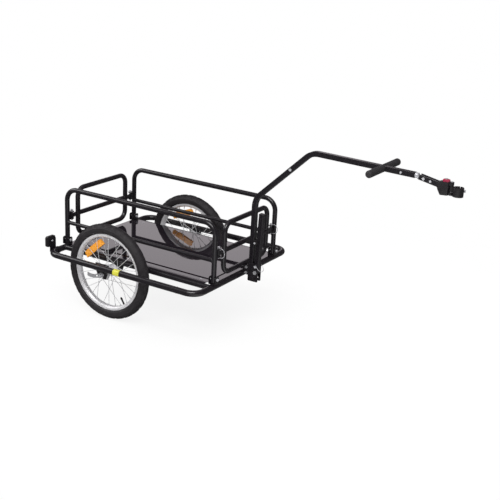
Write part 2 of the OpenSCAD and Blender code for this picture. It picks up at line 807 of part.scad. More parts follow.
module parking_leg() {
    color(frame_black) place() on_leg(0) difference() {
        union() {
            linear_extrude(leg_l - cap_t - seat_gap) leg_section(0, bar_r);
            bar_along_y(-leg_w / 2, leg_w / 2, bar_w);
        }
        translate([0, 0, lock_pitch + plug_l]) linear_extrude(leg_l) leg_section(-bar_wall, bore_r);
        cross_hole(leg_bolt_d);
        translate([0, 0, lock_pitch]) cross_hole(pin_d);
    }
}

// Foot of the leg, which points up when the leg is folded
cap_t = 3;
cap_plug_l = 16;

module leg_foot() {
    color(plastic_black) place() on_leg(leg_l - cap_t) {
        linear_extrude(cap_t) leg_section(0, bar_r);
        translate([0, 0, -cap_plug_l]) linear_extrude(cap_plug_l + 0.5)
            leg_section(-bar_wall - seat_gap, bore_r - seat_gap);
    }
}

// Clip on the drawbar's front that holds the folded leg, with its cross screw
clip_z = leg_pivot_z + 122;
clip_h = 22;
clip_lip_h = 16;
clip_lip = bar_w / 2 + 4;
clip_face = bar_x + bar_w / 2 + seat_gap;
clip_reach = 14;
clip_back = 2.6;
clip_screw_d = 4;
clip_screw_l = 3.5;
clip_screw_x = clip_face + clip_back + 3;

module leg_clip() {
    color(plastic_black) place() {
        difference() {
            union() {
                translate([clip_face, -bar_w / 2, clip_z - clip_h / 2]) cube([clip_reach, bar_w, clip_h]);
                translate([clip_face + clip_back, -clip_lip, clip_z - clip_lip_h / 2])
                    cube([clip_reach, 2 * clip_lip, clip_lip_h]);
            }
            on_leg(0) linear_extrude(leg_l) leg_section(move_gap, bar_r);
            translate([clip_screw_x, -clip_lip - 1, clip_z])
                bar_along_y(0, clip_screw_l + 1 + 2 * bolt_gap, clip_screw_d + 2 * bolt_gap);
        }
    }
}

// The leg's lock pin lies along Y, its head on the right, and its bow hangs forward and down
wire_a = 48;

module on_leg_pin() {
    on_leg(lock_pitch) translate([0, -cheek_y - cheek_t - seat_gap, 0]) rotate([0, -leg_lean, 0])
        rotate([90, 0, 0]) children();
}

module wire_leg() {
    color(steel_silver) place() on_leg_pin() translate([0, 0, pin_head_h / 2]) rotate([0, 0, -wire_a])
        pin_wire();
}

// Rear reflector at the right rear corner, and the band on the right rail

strap_t = 2.4;
strap_w = 34;
strap_side = 10;
ring_w = 12;
ring_t = 2.5;
mark_r = 8;
stud_d = 4;
stud_l = 6;
stud_nut_d = 8;

module reflector_bracket() {
    ring_y = mark_y + strap_w - strap_side - ring_w / 2;
    color(frame_black) place() difference() {
        union() {
            translate([rear_x, 0, bed_z])
                bar_along_y(ring_y - ring_w / 2, ring_y + ring_w / 2, bed_tube_d + 2 * ring_t);
            translate([mark_x + seat_gap, mark_y - strap_side, bed_z - 4])
                cube([strap_t, strap_w, mark_z - bed_z + ring_w + 4]);
        }
        translate([rear_x, mark_y, bed_z]) bar_along_y(-mark_w, mark_w, bed_tube_d + 2 * seat_gap);
        translate([mark_x, mark_y, mark_z]) bar_along_x(-stud_l, stud_l, stud_d + 2 * bolt_gap);
    }
}

module rear_reflector() {
    color("darkred") place() translate([mark_x, mark_y, mark_z]) {
        translate([-mark_t, 0, 0]) plate_yz(0, mark_t) rounded_rect(mark_w, mark_h, mark_r);
        bar_along_x(0, stud_l, stud_d);
        bar_along_x(strap_t + 2 * seat_gap, stud_l - 1, stud_nut_d);
    }
}

band_x = 88;
band_l = 30;
band_t = 1;

module reflective_band() {
    color("yellow") place() translate([band_x, -half_bed, bed_z]) difference() {
        bar_along_x(-band_l / 2, band_l / 2, bed_tube_d + 2 * band_t);
        bar_along_x(-band_l, band_l, bed_tube_d + 2 * seat_gap);
    }
}

// Wheels. Each piece is drawn about the wheel's centre, its axis along Y, for the left side.

module wheel(side) place() on_side(side) translate([0, wheel_y, wheel_r]) children();
module turned() rotate([-90, 0, 0]) rotate_extrude($fn = 128) children();

bead_h = 6.5;
flange_lip = 1.5;
bead_r = rim_d / 2 - bead_h;
bead_w = rim_w - 2 * flange_lip - 2 * seat_gap;
groove_as = [-42, -22, 0, 22, 42];
groove_h = 1.6;
groove_w = 2;
crown_r = wheel_r - tyre_w / 2;
air_d = tyre_w - 3 * tyre_wall;
air_r = wheel_r - tyre_wall - air_d / 2;

module tyre(side) {
    color(rubber_black) wheel(side) turned() difference() {
        union() {
            difference() {
                translate([crown_r, 0]) circle(d = tyre_w);
                translate([0, -tyre_w]) square([rim_d / 2 + move_gap, 2 * tyre_w]);
            }
            translate([bead_r + seat_gap, -bead_w / 2]) square([crown_r - bead_r, bead_w]);
        }
        translate([air_r, 0]) circle(d = air_d);
        translate([bead_r - 1, -bead_w / 2 + tyre_wall])
            square([crown_r - bead_r + 1, bead_w - 2 * tyre_wall]);
        for (a = groove_as) translate([crown_r, 0]) rotate(a)
            translate([tyre_w / 2 - groove_h, -groove_w / 2]) square([2 * groove_h, groove_w]);
    }
}

valve_a = 57;
valve_d = 7;
valve_l = 24;

module inner_tube(side) {
    outside = air_d - 2 * seat_gap;
    color(rubber_black) wheel(side) {
        turned() translate([air_r, 0]) difference() {
            circle(d = outside);
            circle(d = outside - 2 * inner_tube_wall);
        }
        rotate([0, valve_a, 0]) bar_along_x(rim_in_r - valve_l, air_r - outside / 2 + 1, valve_d);
    }
}

rim_seat = 4.5;
rim_well = 3.5;
rim_slope = 2.5;

// Half of the rim's section, from the well round to the spoke bed, and its mirror image
function rim_half(o, w, lip) = [[bead_r - rim_well, lip - rim_seat - rim_slope], [bead_r, lip - rim_seat],
    [bead_r, lip], [o, lip], [o, w], [bead_r - flange_lip, w], [rim_in_r, lip - rim_seat]];
function mirrored(half) = [for (i = [len(half) - 1:-1:0]) [half[i][0], -half[i][1]]];

module rim(side) {
    half = rim_half(rim_d / 2, rim_w / 2, rim_w / 2 - flange_lip);
    color(rim_silver) wheel(side) difference() {
        turned() polygon(concat(half, mirrored(half)));
        rotate([0, valve_a, 0]) bar_along_x(rim_in_r - 2, rim_d / 2, valve_d + 2 * seat_gap);
    }
}

// Spokes: half on each flange, crossing each other on the way to the rim. The elbow of each
// spoke passes through the flange; half of them start outside the flange and half inside.
flange_t = 2;
flange_in = 7;
flange_y = hub_w / 2 - flange_in;
spoke_hole_r = hub_flange_d / 2 - 4;
elbow_d = spoke_d + 0.4;
elbow_out = 1.5;
spoke_end_y = 1.5;
nipple_gap = 0.6;
nipple_l = 8.5;
nipple_wall = 0.8;
spoke_cross = 4 * 360 / spoke_count;

function rim_angle(i) = valve_a + (i + 0.5) * 360 / spoke_count;
function spoke_lean(i) = floor(i / 2) % 2 == 0 ? 1 : -1;
function hub_angle(i) = rim_angle(i) + spoke_lean(i) * spoke_cross;
function on_circle(r, a, y) = [r * cos(a), y, -r * sin(a)];

module spokes(side) {
    near = flange_y - flange_t / 2 - spoke_d / 2 - bolt_gap;
    far = flange_y + flange_t / 2 + spoke_d / 2 + elbow_out;
    color(steel_silver) wheel(side) for (i = [0:spoke_count - 1]) {
        face = i % 2 == 0 ? 1 : -1;
        outside = spoke_lean(i) > 0;
        end = outside ? far + spoke_d / 2 : far - elbow_out + 0.1;
        spoke_rod(on_circle(spoke_hole_r, hub_angle(i), face * (outside ? far : near)),
            on_circle(rim_in_r - nipple_gap, rim_angle(i), face * spoke_end_y));
        rotate([0, hub_angle(i), 0]) translate([spoke_hole_r, 0, 0])
            if (face > 0) bar_along_y(near - spoke_d / 2, end, elbow_d);
            else bar_along_y(-end, spoke_d / 2 - near, elbow_d);
    }
}

// A spoke with its nipple, turned in one piece
module spoke_rod(a, b) {
    v = b - a;
    l = norm(v);
    r = spoke_d / 2;
    translate(a) rotate([0, acos(v[2] / l), atan2(v[1], v[0])]) rotate_extrude($fn = 24)
        polygon([[0, 0], [r, 0], [r, l - nipple_l - nipple_wall], [r + nipple_wall, l - nipple_l],
            [r + nipple_wall, l], [0, l]]);
}

hub_end_l = 6;
hub_end_step = 3;
cup_l = 12;
cone_in = 11;

module hub(side) {
    h = hub_w / 2;
    f = hub_flange_d / 2 - 2;
    b = hub_barrel_d / 2;
    hole = elbow_d + 2 * bolt_gap;
    color(steel_silver) wheel(side) difference() {
        turned() difference() {
            union() {
                translate([0, -h]) square([b - hub_end_step, 2 * h]);
                translate([0, hub_end_l - h]) square([b, 2 * (h - hub_end_l)]);
                for (s = [-1, 1]) translate([0, s * flange_y - flange_t / 2]) square([f, flange_t]);
            }
            translate([-1, -h - 1]) square([axle_d / 2 + 3, 2 * h + 2]);
            for (y = [h - cup_l, -h - 1]) translate([-1, y]) square([cone_d / 2 + run_gap + 1, cup_l + 1]);
        }
        for (i = [0:spoke_count - 1]) rotate([0, hub_angle(i), 0])
            translate([spoke_hole_r, i % 2 == 0 ? flange_y : -flange_y, 0])
            bar_along_y(-flange_t, flange_t, hole);
    }
}

// Axle with its cones, spacers and lock nuts. It stands still in the dropout slots.
module axle(side) {
    h = hub_w / 2;
    out = outer_plate_y - wheel_y;
    in = inner_plate_y + dropout_t - wheel_y;
    color(steel_silver) wheel(side) difference() {
        union() {
            bar_along_y(in - dropout_t, out + dropout_t, axle_d);
            bar_along_y(h - cone_in, out - seat_gap, cone_d);
            bar_along_y(in + seat_gap, cone_in - h, cone_d);
        }
        bar_along_y(in - 2 * dropout_t, out + 2 * dropout_t, skewer_d + 2 * seat_gap);
    }
}

// Quick release: the skewer through the axle, with its nut inboard and its cam seat outboard
cam_r = 7;
cam_pin_d = 5;
cam_seat_d = 19;
cam_out = 15;
cam_y = outer_plate_y + dropout_t - wheel_y + cam_out;
skewer_nut_l = 10;
skewer_nut_d = 18;
skewer_end_d = 13;
skewer_eye_d = 9;
skewer_eye_h = 8;

module skewer(side) {
    out = outer_plate_y + dropout_t - wheel_y + seat_gap;
    in = inner_plate_y - wheel_y - seat_gap;
    color(steel_silver) wheel(side) difference() {
        union() {
            bar_along_y(in - skewer_nut_l, cam_y, skewer_d);
            translate([0, in - skewer_nut_l, 0]) rotate([-90, 0, 0])
                cylinder(d1 = skewer_end_d, d2 = skewer_nut_d, h = skewer_nut_l);
            difference() {
                bar_along_y(out, cam_y - cam_r, cam_seat_d);
                translate([0, cam_y, 0]) bar_along_z(-cam_seat_d, cam_seat_d, 2 * cam_r + 2 * move_gap);
            }
            translate([0, cam_y, -skewer_eye_h / 2]) cylinder(d = skewer_eye_d, h = skewer_eye_h);
        }
        translate([0, cam_y, 0]) bar_along_z(-skewer_eye_h, skewer_eye_h, cam_pin_d + 2 * run_gap);
    }
}

// Plan of the lever's blade: an arc that bulges outwards
blade_r = 42;
blade_t = 5.5;
blade_centre = [-28, -22];
blade_from = 9;
fork_in = 4.3;
fork_out = 7.5;

module blade_plan() {
    intersection() {
        translate(blade_centre) difference() {
            circle(blade_r, $fn = 128);
            circle(blade_r - blade_t, $fn = 128);
        }
        translate([-lever_l, 0]) square([lever_l - blade_from, blade_r]);
    }
}

module qr_lever(side) {
    in = fork_in;
    out = fork_out;
    color(lever_grey) wheel(side) translate([0, cam_y, 0]) {
        bar_along_z(-out, out, cam_pin_d);
        for (z = [-out, in]) translate([0, 0, z]) linear_extrude(out - in) {
            circle(cam_r);
            polygon([[-cam_r, 0], [-2, 6.7], [-9, 15.5], [-12, 12]]);
        }
        translate([0, 0, -out + 1]) linear_extrude(2 * out - 2) blade_plan();
    }
}

// Spoke reflector: a wedge that lies between the two spoke planes, clear of the nipples
mark_wide = 28;
mark_edge = 1.3;
mark_root = 5.4;
mark_mid_r = rim_in_r - 32;
mark_end_r = rim_in_r - nipple_l - 1.5;

module spoke_mark(side, angle) {
    half = mark_wide / 2;
    color("orange") wheel(side) intersection() {
        bar_along_y(-2 * mark_root, 2 * mark_root, 2 * mark_end_r);
        rotate([0, -angle, 0]) translate([mark_mid_r, 0, -spoke_mark_l / 2]) linear_extrude(spoke_mark_l)
            polygon([[half, -mark_edge], [half, mark_edge], [-half, mark_root], [-half, -mark_root]]);
    }
}

// Hitch

// Swivel eye: it turns in the drawbar's end, and the hitch arm pitches about its eye
eye_l = eye_s - run_l;

module swivel_eye() {
    half = bar_w / 2 - bar_wall - move_gap;
    color(steel_silver) place() on_run(run_l) difference() {
        union() {
            bar_along_x(-shank_l, 1, shank_d);
            bar_along_x(move_gap, collar_t, bar_w);
            translate([collar_t - 1, -half, -eye_drop - tongue_h / 2])
                cube([eye_l - collar_t + 1, 2 * half, tongue_h]);
            translate([eye_l, 0, -eye_drop]) bar_along_y(-half, half, 2 * tongue_r);
        }
        translate([eye_l, 0, -eye_drop]) bar_along_y(-bar_w, bar_w, small_bolt_d + 2 * run_gap);
    }
}

module on_arm(s) translate([hitch_x, 0, hitch_z]) rotate([0, arm_a, 0]) translate([s, 0, 0]) children();

// The lower notch ends where the tongue stops the arm from drooping further
stop_l = (bar_bore / 2 - move_gap - tongue_h / 2 * cos(arm_droop)) / sin(arm_droop);
stop_s = stop_l * cos(arm_droop) - tongue_h / 2 * sin(arm_droop);

module hitch_arm() {
    color(frame_black) place() on_arm(0) difference() {
        square_run(-arm_back, arm_l, bar_w, bar_r);
        square_run(-arm_back - 1, arm_l + 1, bar_bore, bore_r);
        translate([-arm_back - 1, -bar_bore / 2, -bar_w])
            cube([arm_back + 1 - stop_s, bar_bore, bar_w]);
        translate([-arm_back - 1, -bar_bore / 2, 0]) cube([arm_back + 1, bar_bore, bar_w]);
        cross_hole(small_bolt_d);
        translate([rivet_s, 0, 0]) cross_hole(end_rivet_d);
    }
}

module arm_pins() {
    grip = bar_w + 2 * seat_gap;
    low = head_z - head_below;
    high = head_z + beak_top;
    color(steel_silver) place() {
        on_arm(0) translate([0, -grip / 2, 0]) rotate([-90, 0, 0]) hex_bolt(small_bolt_d, grip);
        on_arm(rivet_s) translate([0, -grip / 2, 0]) rotate([-90, 0, 0]) flat_rivet(end_rivet_d, grip);
        translate([king_x, 0, 0]) {
            bar_along_z(low - king_cap_t, high + king_cap_t, king_d);
            bar_along_z(low - king_cap_t, low - seat_gap, king_cap_d);
            bar_along_z(high + seat_gap, high + king_cap_t, king_cap_d);
        }
    }
}

// Hitch head: a body on the arm, a beak over the king pin and a lip under it
module body_outline() {
    x = king_x;
    z = head_z;
    polygon([[x - head_back, z + 9], [x - 36, z + 13], [x - 6, z + 14], [x - 6, z - head_below],
        [x - 34, z - head_below - 2], [x - 46, z - 14], [x - head_back, z - 9]]);
}

head_mid = 27;
head_l = 42;
head_r = 6;
neck_l = 30;
beak_low = 3;
beak_r = 8;
lip_r = 6.2;
lip_top = 22;
nose_l = 14;
head_plug_l = 34;
button_x = king_x - 20;
button_l = 24;
button_w = 16;
button_r = 4;
button_low = 4;
button_h = 12;
button_pad_h = 1.5;

module nose(low, high, r) {
    translate([king_x, 0, head_z + low]) linear_extrude(high - low) {
        circle(r);
        translate([-nose_l, -r]) square([nose_l, 2 * r]);
    }
}

module hitch_head() {
    color(plastic_black) place() difference() {
        union() {
            difference() {
                intersection() {
                    plate_xz(-head_w / 2, head_w) body_outline();
                    translate([king_x - head_mid, 0, head_z - head_back]) linear_extrude(2 * head_back) {
                        rounded_rect(head_l, head_w, head_r);
                        translate([-neck_l / 3, 0]) rounded_rect(neck_l, bar_w + 4, bar_r);
                    }
                }
                on_arm(0) square_run(0, arm_l + seat_gap, bar_w + 2 * seat_gap, bar_r);
            }
            nose(beak_low, beak_top, beak_r);
            nose(-head_below, -lip_top, lip_r);
            on_arm(arm_l - head_plug_l)
                square_run(0, head_plug_l + 6, bar_bore - 2 * seat_gap, bore_r - seat_gap);
        }
        translate([king_x, 0, 0])
            bar_along_z(head_z - lip_top, head_z + beak_low, 2 * eye_r + 2 * move_gap);
        translate([king_x, 0, 0])
            bar_along_z(head_z - head_back, head_z + head_back, king_d + 2 * seat_gap);
        translate([button_x, 0, head_z + button_low]) linear_extrude(head_back)
            rounded_rect(button_l + 2 * move_gap, button_w + 2 * move_gap, button_r + move_gap);
        on_arm(rivet_s) cross_hole(end_rivet_d);
    }
}

module release_button() {
    color("crimson") place() translate([button_x, 0, head_z + button_low + button_travel + 0.5]) {
        linear_extrude(button_h) rounded_rect(button_l, button_w, button_r);
        translate([0, 0, button_h - 0.5]) linear_extrude(button_pad_h + 0.5)
            rounded_rect(button_l - button_r, button_w - button_r, button_r - 1);
    }
}

// Seat post clamp with its eye on the king pin
clamp_ear = 8;
slit_w = 3;
eye_low = 19;
eye_h = 21;
arm_web = 10;
arm_web_h = 17;
cap_head_d = 10;
cap_head_h = 8;
cap_socket_d = 5;
clamp_nut_h = 5;

module post_clamp() {
    low = clamp_z - clamp_h / 2;
    ear = clamp_ear;
    color(plastic_black) place() difference() {
        union() {
            translate([post_x, 0, low]) cylinder(r = ring_r, h = clamp_h);
            translate([king_x, 0, head_z - eye_low]) cylinder(r = eye_r, h = eye_h);
            translate([king_x, -arm_web / 2, head_z - arm_web_h]) cube([post_x - king_x, arm_web, arm_web_h]);
            translate([0, ear_bolt_y, clamp_z]) bar_along_x(post_x - ear, post_x + ear, 2 * ear);
            translate([post_x - ear, ring_r - clamp_wall, clamp_z - ear])
                cube([2 * ear, ear_bolt_y - ring_r + clamp_wall, 2 * ear]);
        }
        translate([post_x, 0, low - 1]) cylinder(d = post_d, h = clamp_h + 2);
        translate([post_x - slit_w / 2, 0, low - 1]) cube([slit_w, 2 * ring_r, clamp_h + 2]);
        translate([king_x, 0, head_z - 2 * eye_low]) cylinder(d = king_d + 2 * run_gap, h = 4 * eye_low);
        translate([0, ear_bolt_y, clamp_z])
            bar_along_x(post_x - 2 * ear, post_x + 2 * ear, small_bolt_d + 2 * bolt_gap);
    }
}

// Clamp screw along X: a cap head at the front and a nut at the back
module clamp_bolt() {
    ear = clamp_ear + seat_gap;
    color(steel_silver) place() translate([post_x, ear_bolt_y, clamp_z]) {
        bar_along_x(-ear - clamp_nut_h - 1, ear + 1, small_bolt_d);
        difference() {
            bar_along_x(ear, ear + cap_head_h, cap_head_d);
            bar_along_x(ear + cap_head_h / 2, ear + cap_head_h + 1, cap_socket_d);
        }
        translate([-ear - clamp_nut_h, 0, 0]) rotate([0, 90, 0]) hex(cap_head_d, clamp_nut_h);
    }
}

outer_rail("left");  // outer_rail_left
outer_rail("right");  // outer_rail_right
front_tube();
rear_tube();
inner_rails();
cross_members();
floor_panel();
floor_rivets();
dropouts();
foot_brackets();
foot_bolts();
side_rail("left");  // side_rail_left
side_rail("right");  // side_rail_right
gate_front();
gate_rear();
gate_brackets();
lock_pins();
drawbar_bracket();
bracket_bolts();
drawbar_lower();
drawbar_upper();
drawbar_bolts();
hand_bar();
hand_grips();
parking_leg();
leg_foot();
leg_clip();
rear_reflector();
reflector_bracket();
reflective_band();
axle("left");  // axle_left
axle("right");  // axle_right
skewer("left");  // skewer_left
skewer("right");  // skewer_right
qr_lever("left");  // qr_lever_left
qr_lever("right");  // qr_lever_right
tyre("left");  // tyre_left
tyre("right");  // tyre_right
inner_tube("left");  // inner_tube_left
inner_tube("right");  // inner_tube_right
rim("left");  // rim_left
rim("right");  // rim_right
spokes("left");  // spokes_left
spokes("right");  // spokes_right
spoke_mark("left", 111);  // spoke_mark_left
spoke_mark("right", 132);  // spoke_mark_right
hub("left");  // hub_left
hub("right");  // hub_right
gate_wire("front", "left");  // wire_front_left
gate_wire("front", "right");  // wire_front_right
gate_wire("rear", "left");  // wire_rear_left
gate_wire("rear", "right");  // wire_rear_right
wire_leg();
swivel_eye();
hitch_arm();
arm_pins();
hitch_head();
release_button();
post_clamp();
clamp_bolt();
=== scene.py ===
import math

import bmesh
import bpy
from bpy.props import FloatProperty, FloatVectorProperty, IntProperty
from mathutils import Matrix, Vector


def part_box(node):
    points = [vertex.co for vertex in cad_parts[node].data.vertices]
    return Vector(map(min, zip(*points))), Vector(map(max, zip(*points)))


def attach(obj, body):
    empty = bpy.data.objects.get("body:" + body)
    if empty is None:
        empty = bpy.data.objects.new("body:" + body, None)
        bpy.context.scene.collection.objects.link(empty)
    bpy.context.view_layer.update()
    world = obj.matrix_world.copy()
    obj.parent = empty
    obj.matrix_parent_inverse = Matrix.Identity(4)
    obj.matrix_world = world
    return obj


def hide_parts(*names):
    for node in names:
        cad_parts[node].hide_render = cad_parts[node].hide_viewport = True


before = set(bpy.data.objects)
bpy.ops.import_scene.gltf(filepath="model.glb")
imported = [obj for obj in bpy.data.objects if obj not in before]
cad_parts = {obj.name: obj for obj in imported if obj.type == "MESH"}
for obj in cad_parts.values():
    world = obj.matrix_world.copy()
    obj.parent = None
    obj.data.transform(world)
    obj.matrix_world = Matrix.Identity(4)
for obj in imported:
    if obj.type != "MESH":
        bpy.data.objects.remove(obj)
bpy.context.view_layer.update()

bl_info = {
    "name": "Cargo trailer looks",
    "version": (1, 0, 0),
    "blender": (4, 5, 0),
    "location": "View3D > Sidebar > Trailer",
    "description": "Dresses the packed frame of a two-wheeled bicycle cargo trailer",
    "category": "Object",
}

SIDES = (("left", 1), ("right", -1))
X, Y, Z = Vector((1, 0, 0)), Vector((0, 1, 0)), Vector((0, 0, 1))
PLATES = ("dropouts", "foot_brackets", "gate_brackets", "drawbar_bracket")


def node_box(name):
    """The lowest and highest corner of a CAD node's box."""
    low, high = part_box(name)
    return Vector(low), Vector(high)


def middle(name):
    """The middle of a CAD node's box."""
    low, high = node_box(name)
    return (low + high) / 2


# Sizes and colours that a user would change

class TrailerSizes(bpy.types.PropertyGroup):
    """Sizes of the pieces that are added to the frame"""

    weld_r: FloatProperty(name="Weld bead", description="Radius of a weld bead", default=0.0016,
                          unit="LENGTH")
    edge_r: FloatProperty(name="Edge rounding", description="Rounding on plates and mouldings",
                          default=0.0006, unit="LENGTH")
    sheet_t: FloatProperty(name="Sheet thickness", description="Thickness of the floor sheet",
                           default=0.0015, unit="LENGTH")
    sleeve_r: FloatProperty(name="Gate sleeve", default=0.0098, unit="LENGTH",
                            description="Radius of the sleeves on the gates' middle bars")
    tread_h: FloatProperty(name="Tread height", description="Height of the tyre's blocks",
                           default=0.0012, unit="LENGTH")
    tread_steps: IntProperty(name="Tread steps", description="Rows of blocks round the tyre",
                             default=108, min=36)
    stage_w: FloatProperty(name="Floor width", description="Width of the studio floor", default=24.0,
                           unit="LENGTH")


def colour(title, words, value):
    return FloatVectorProperty(name=title, description=words, subtype="COLOR", size=3, min=0, max=1,
                               default=value)


class TrailerColours(bpy.types.PropertyGroup):
    """Colours of the finishes, linear"""

    paint: colour("Paint", "Gloss black of the tubes", (0.009, 0.0072, 0.01))
    sheet: colour("Floor sheet", "Black gloss sheet of the bed", (0.013, 0.01, 0.014))
    moulding: colour("Moulding", "Black moulded plastic", (0.0105, 0.0085, 0.0105))
    tyre: colour("Tyre", "Worn black rubber of the tyres", (0.02, 0.017, 0.02))
    foam: colour("Grip", "Soft rubber of the hand grips", (0.024, 0.022, 0.025))
    steel: colour("Zinc", "Zinc plated steel", (0.66, 0.66, 0.69))
    spoke: colour("Spokes", "Stainless steel of the spokes", (0.8, 0.8, 0.82))
    alloy: colour("Alloy", "Aluminium of rims and hubs", (0.78, 0.77, 0.79))
    lever: colour("Lever", "Quick release levers", (0.5, 0.5, 0.52))
    amber: colour("Amber", "Spoke reflectors", (0.95, 0.36, 0.015))
    red: colour("Red", "Rear reflector", (0.5, 0.01, 0.02))
    button: colour("Button", "Release button", (0.36, 0.018, 0.06))
    cap: colour("Cap", "Grey cap of the release button", (0.2, 0.19, 0.2))
    band: colour("Band", "Reflective band", (0.6, 0.62, 0.05))
    floor: colour("Studio floor", "Floor of the studio", (0.93, 0.93, 0.93))


def sizes():
    return bpy.context.scene.trailer_sizes


def tint(name):
    return (*getattr(bpy.context.scene.trailer_colours, name), 1.0)


# Shader nodes

def connect(tree, socket, value):
    """Links an input from a socket, or sets its value."""
    if isinstance(value, bpy.types.NodeSocket):
        tree.links.new(value, socket)
    else:
        socket.default_value = value


def node(tree, kind, inputs=(), **settings):
    """A shader node with its settings, and its inputs given as values or as sockets to link from."""
    made = tree.nodes.new("ShaderNode" + kind)
    for key, value in settings.items():
        setattr(made, key, value)
    for key, value in dict(inputs).items():
        connect(tree, made.inputs[key], value)
    return made


def blend_colour(tree, factor, a, b):
    """Mixes two colours: the Mix node takes the factor at socket 0 and the colours at 6 and 7."""
    made = node(tree, "Mix", data_type="RGBA")
    for index, value in ((0, factor), (6, a), (7, b)):
        connect(tree, made.inputs[index], value)
    return made.outputs[2]


def math_node(tree, operation, a, b, c=0.0):
    return node(tree, "Math", {0: a, 1: b, 2: c}, operation=operation).outputs[0]


def vector_node(tree, operation, inputs):
    return node(tree, "VectorMath", inputs, operation=operation).outputs


def ramp(tree, value, low, high, start, end):
    """A smooth step from start to end as the value goes from low to high."""
    return node(tree, "MapRange", {"Value": value, "From Min": low, "From Max": high, "To Min": start,
                                   "To Max": end}, interpolation_type="SMOOTHSTEP").outputs[0]


# Shader node groups

FINISH_SOCKETS = (("Color", "Color"), ("Roughness", "Float"), ("Height", "Float"))


def new_group(name, *inputs):
    """An empty group for a finish, with its own inputs given as (name, kind, default)."""
    group = bpy.data.node_groups.new(name, "ShaderNodeTree")
    for title, kind, value in (("Vector", "Vector", None), *inputs):
        socket = group.interface.new_socket(title, in_out="INPUT", socket_type="NodeSocket" + kind)
        if value is not None:
            socket.default_value = value
    for title, kind in FINISH_SOCKETS:
        group.interface.new_socket(title, in_out="OUTPUT", socket_type="NodeSocket" + kind)
    return group, group.nodes.new("NodeGroupInput").outputs, group.nodes.new("NodeGroupOutput").inputs


def paint_group():
    """Sprayed paint: a faint orange peel, slow changes of gloss and a little dust."""
    gloss_swing = 0.16
    dust_colour = (0.16, 0.15, 0.14, 1)
    group, given, out = new_group("Sprayed paint", ("Color", "Color", (0.01, 0.01, 0.01, 1)),
                                  ("Gloss", "Float", 0.2), ("Peel", "Float", 420.0),
                                  ("Dust", "Float", 0.25))
    link = group.links.new
    at = given["Vector"]
    peel = node(group, "TexNoise", {"Vector": at, "Scale": given["Peel"], "Detail": 1.0})
    slow = node(group, "TexNoise", {"Vector": at, "Scale": 14.0, "Detail": 4.0, "Roughness": 0.6})
    specks = node(group, "TexNoise", {"Vector": at, "Scale": 1900.0, "Detail": 0.0})
    speck = node(group, "MapRange", {"Value": specks.outputs[0], "From Min": 0.68, "From Max": 0.8})
    dust = math_node(group, "MULTIPLY", speck.outputs[0], given["Dust"])
    shade = blend_colour(group, dust, given["Color"], dust_colour)
    film = math_node(group, "MULTIPLY_ADD", slow.outputs[0], gloss_swing, given["Gloss"])
    link(shade, out["Color"])
    link(math_node(group, "SUBTRACT", film, gloss_swing / 2), out["Roughness"])
    link(peel.outputs[0], out["Height"])
    return group


def grain_group():
    """Moulded plastic or rubber: a fine leathery grain with slightly uneven colour."""
    bloom_colour = (0.13, 0.125, 0.12, 1)
    rough_swing, fine_share = 0.15, 0.4
    group, given, out = new_group("Moulded grain", ("Color", "Color", (0.02, 0.02, 0.02, 1)),
                                  ("Rough", "Float", 0.5), ("Grain", "Float", 900.0),
                                  ("Bloom", "Float", 0.2))
    link = group.links.new
    at = given["Vector"]
    cells = node(group, "TexVoronoi", {"Vector": at, "Scale": given["Grain"]})
    fine = node(group, "TexNoise", {"Vector": at, "Scale": 2400.0, "Detail": 2.0})
    cloud = node(group, "TexNoise", {"Vector": at, "Scale": 22.0, "Detail": 5.0, "Roughness": 0.65})
    film = node(group, "MapRange", {"Value": cloud.outputs[0], "From Min": 0.42, "From Max": 0.75})
    amount = math_node(group, "MULTIPLY", film.outputs[0], given["Bloom"])
    link(blend_colour(group, amount, given["Color"], bloom_colour), out["Color"])
    link(math_node(group, "MULTIPLY_ADD", cloud.outputs[0], rough_swing, given["Rough"]),
         out["Roughness"])
    link(math_node(group, "MULTIPLY_ADD", fine.outputs[0], fine_share, cells.outputs["Distance"]),
         out["Height"])
    return group


def metal_group():
    """Drawn or turned metal: streaks along one direction and small marks."""
    mark_colour = (0.2, 0.2, 0.21, 1)
    cloud_colour = (0.3, 0.3, 0.32, 1)
    cloud_share, rough_swing = 0.22, 0.2
    group, given, out = new_group("Drawn metal", ("Color", "Color", (0.6, 0.6, 0.6, 1)),
                                  ("Rough", "Float", 0.25), ("Stretch", "Vector", (1, 1, 1)),
                                  ("Marks", "Float", 0.25))
    link = group.links.new
    at = given["Vector"]
    along = vector_node(group, "MULTIPLY", {0: at, 1: given["Stretch"]})[0]
    streak = node(group, "TexNoise", {"Vector": along, "Scale": 160.0, "Detail": 3.0})
    cloud = node(group, "TexNoise", {"Vector": at, "Scale": 45.0, "Detail": 3.0})
    pits = node(group, "TexNoise", {"Vector": at, "Scale": 700.0, "Detail": 1.0})
    mark = node(group, "MapRange", {"Value": pits.outputs[0], "From Min": 0.6, "From Max": 0.74})
    amount = math_node(group, "MULTIPLY", mark.outputs[0], given["Marks"])
    shade = blend_colour(group, amount, given["Color"], mark_colour)
    cloudy = math_node(group, "MULTIPLY", cloud.outputs[0], cloud_share)
    link(blend_colour(group, cloudy, shade, cloud_colour), out["Color"])
    link(math_node(group, "MULTIPLY_ADD", streak.outputs[0], rough_swing, given["Rough"]),
         out["Roughness"])
    link(streak.outputs[0], out["Height"])
    return group


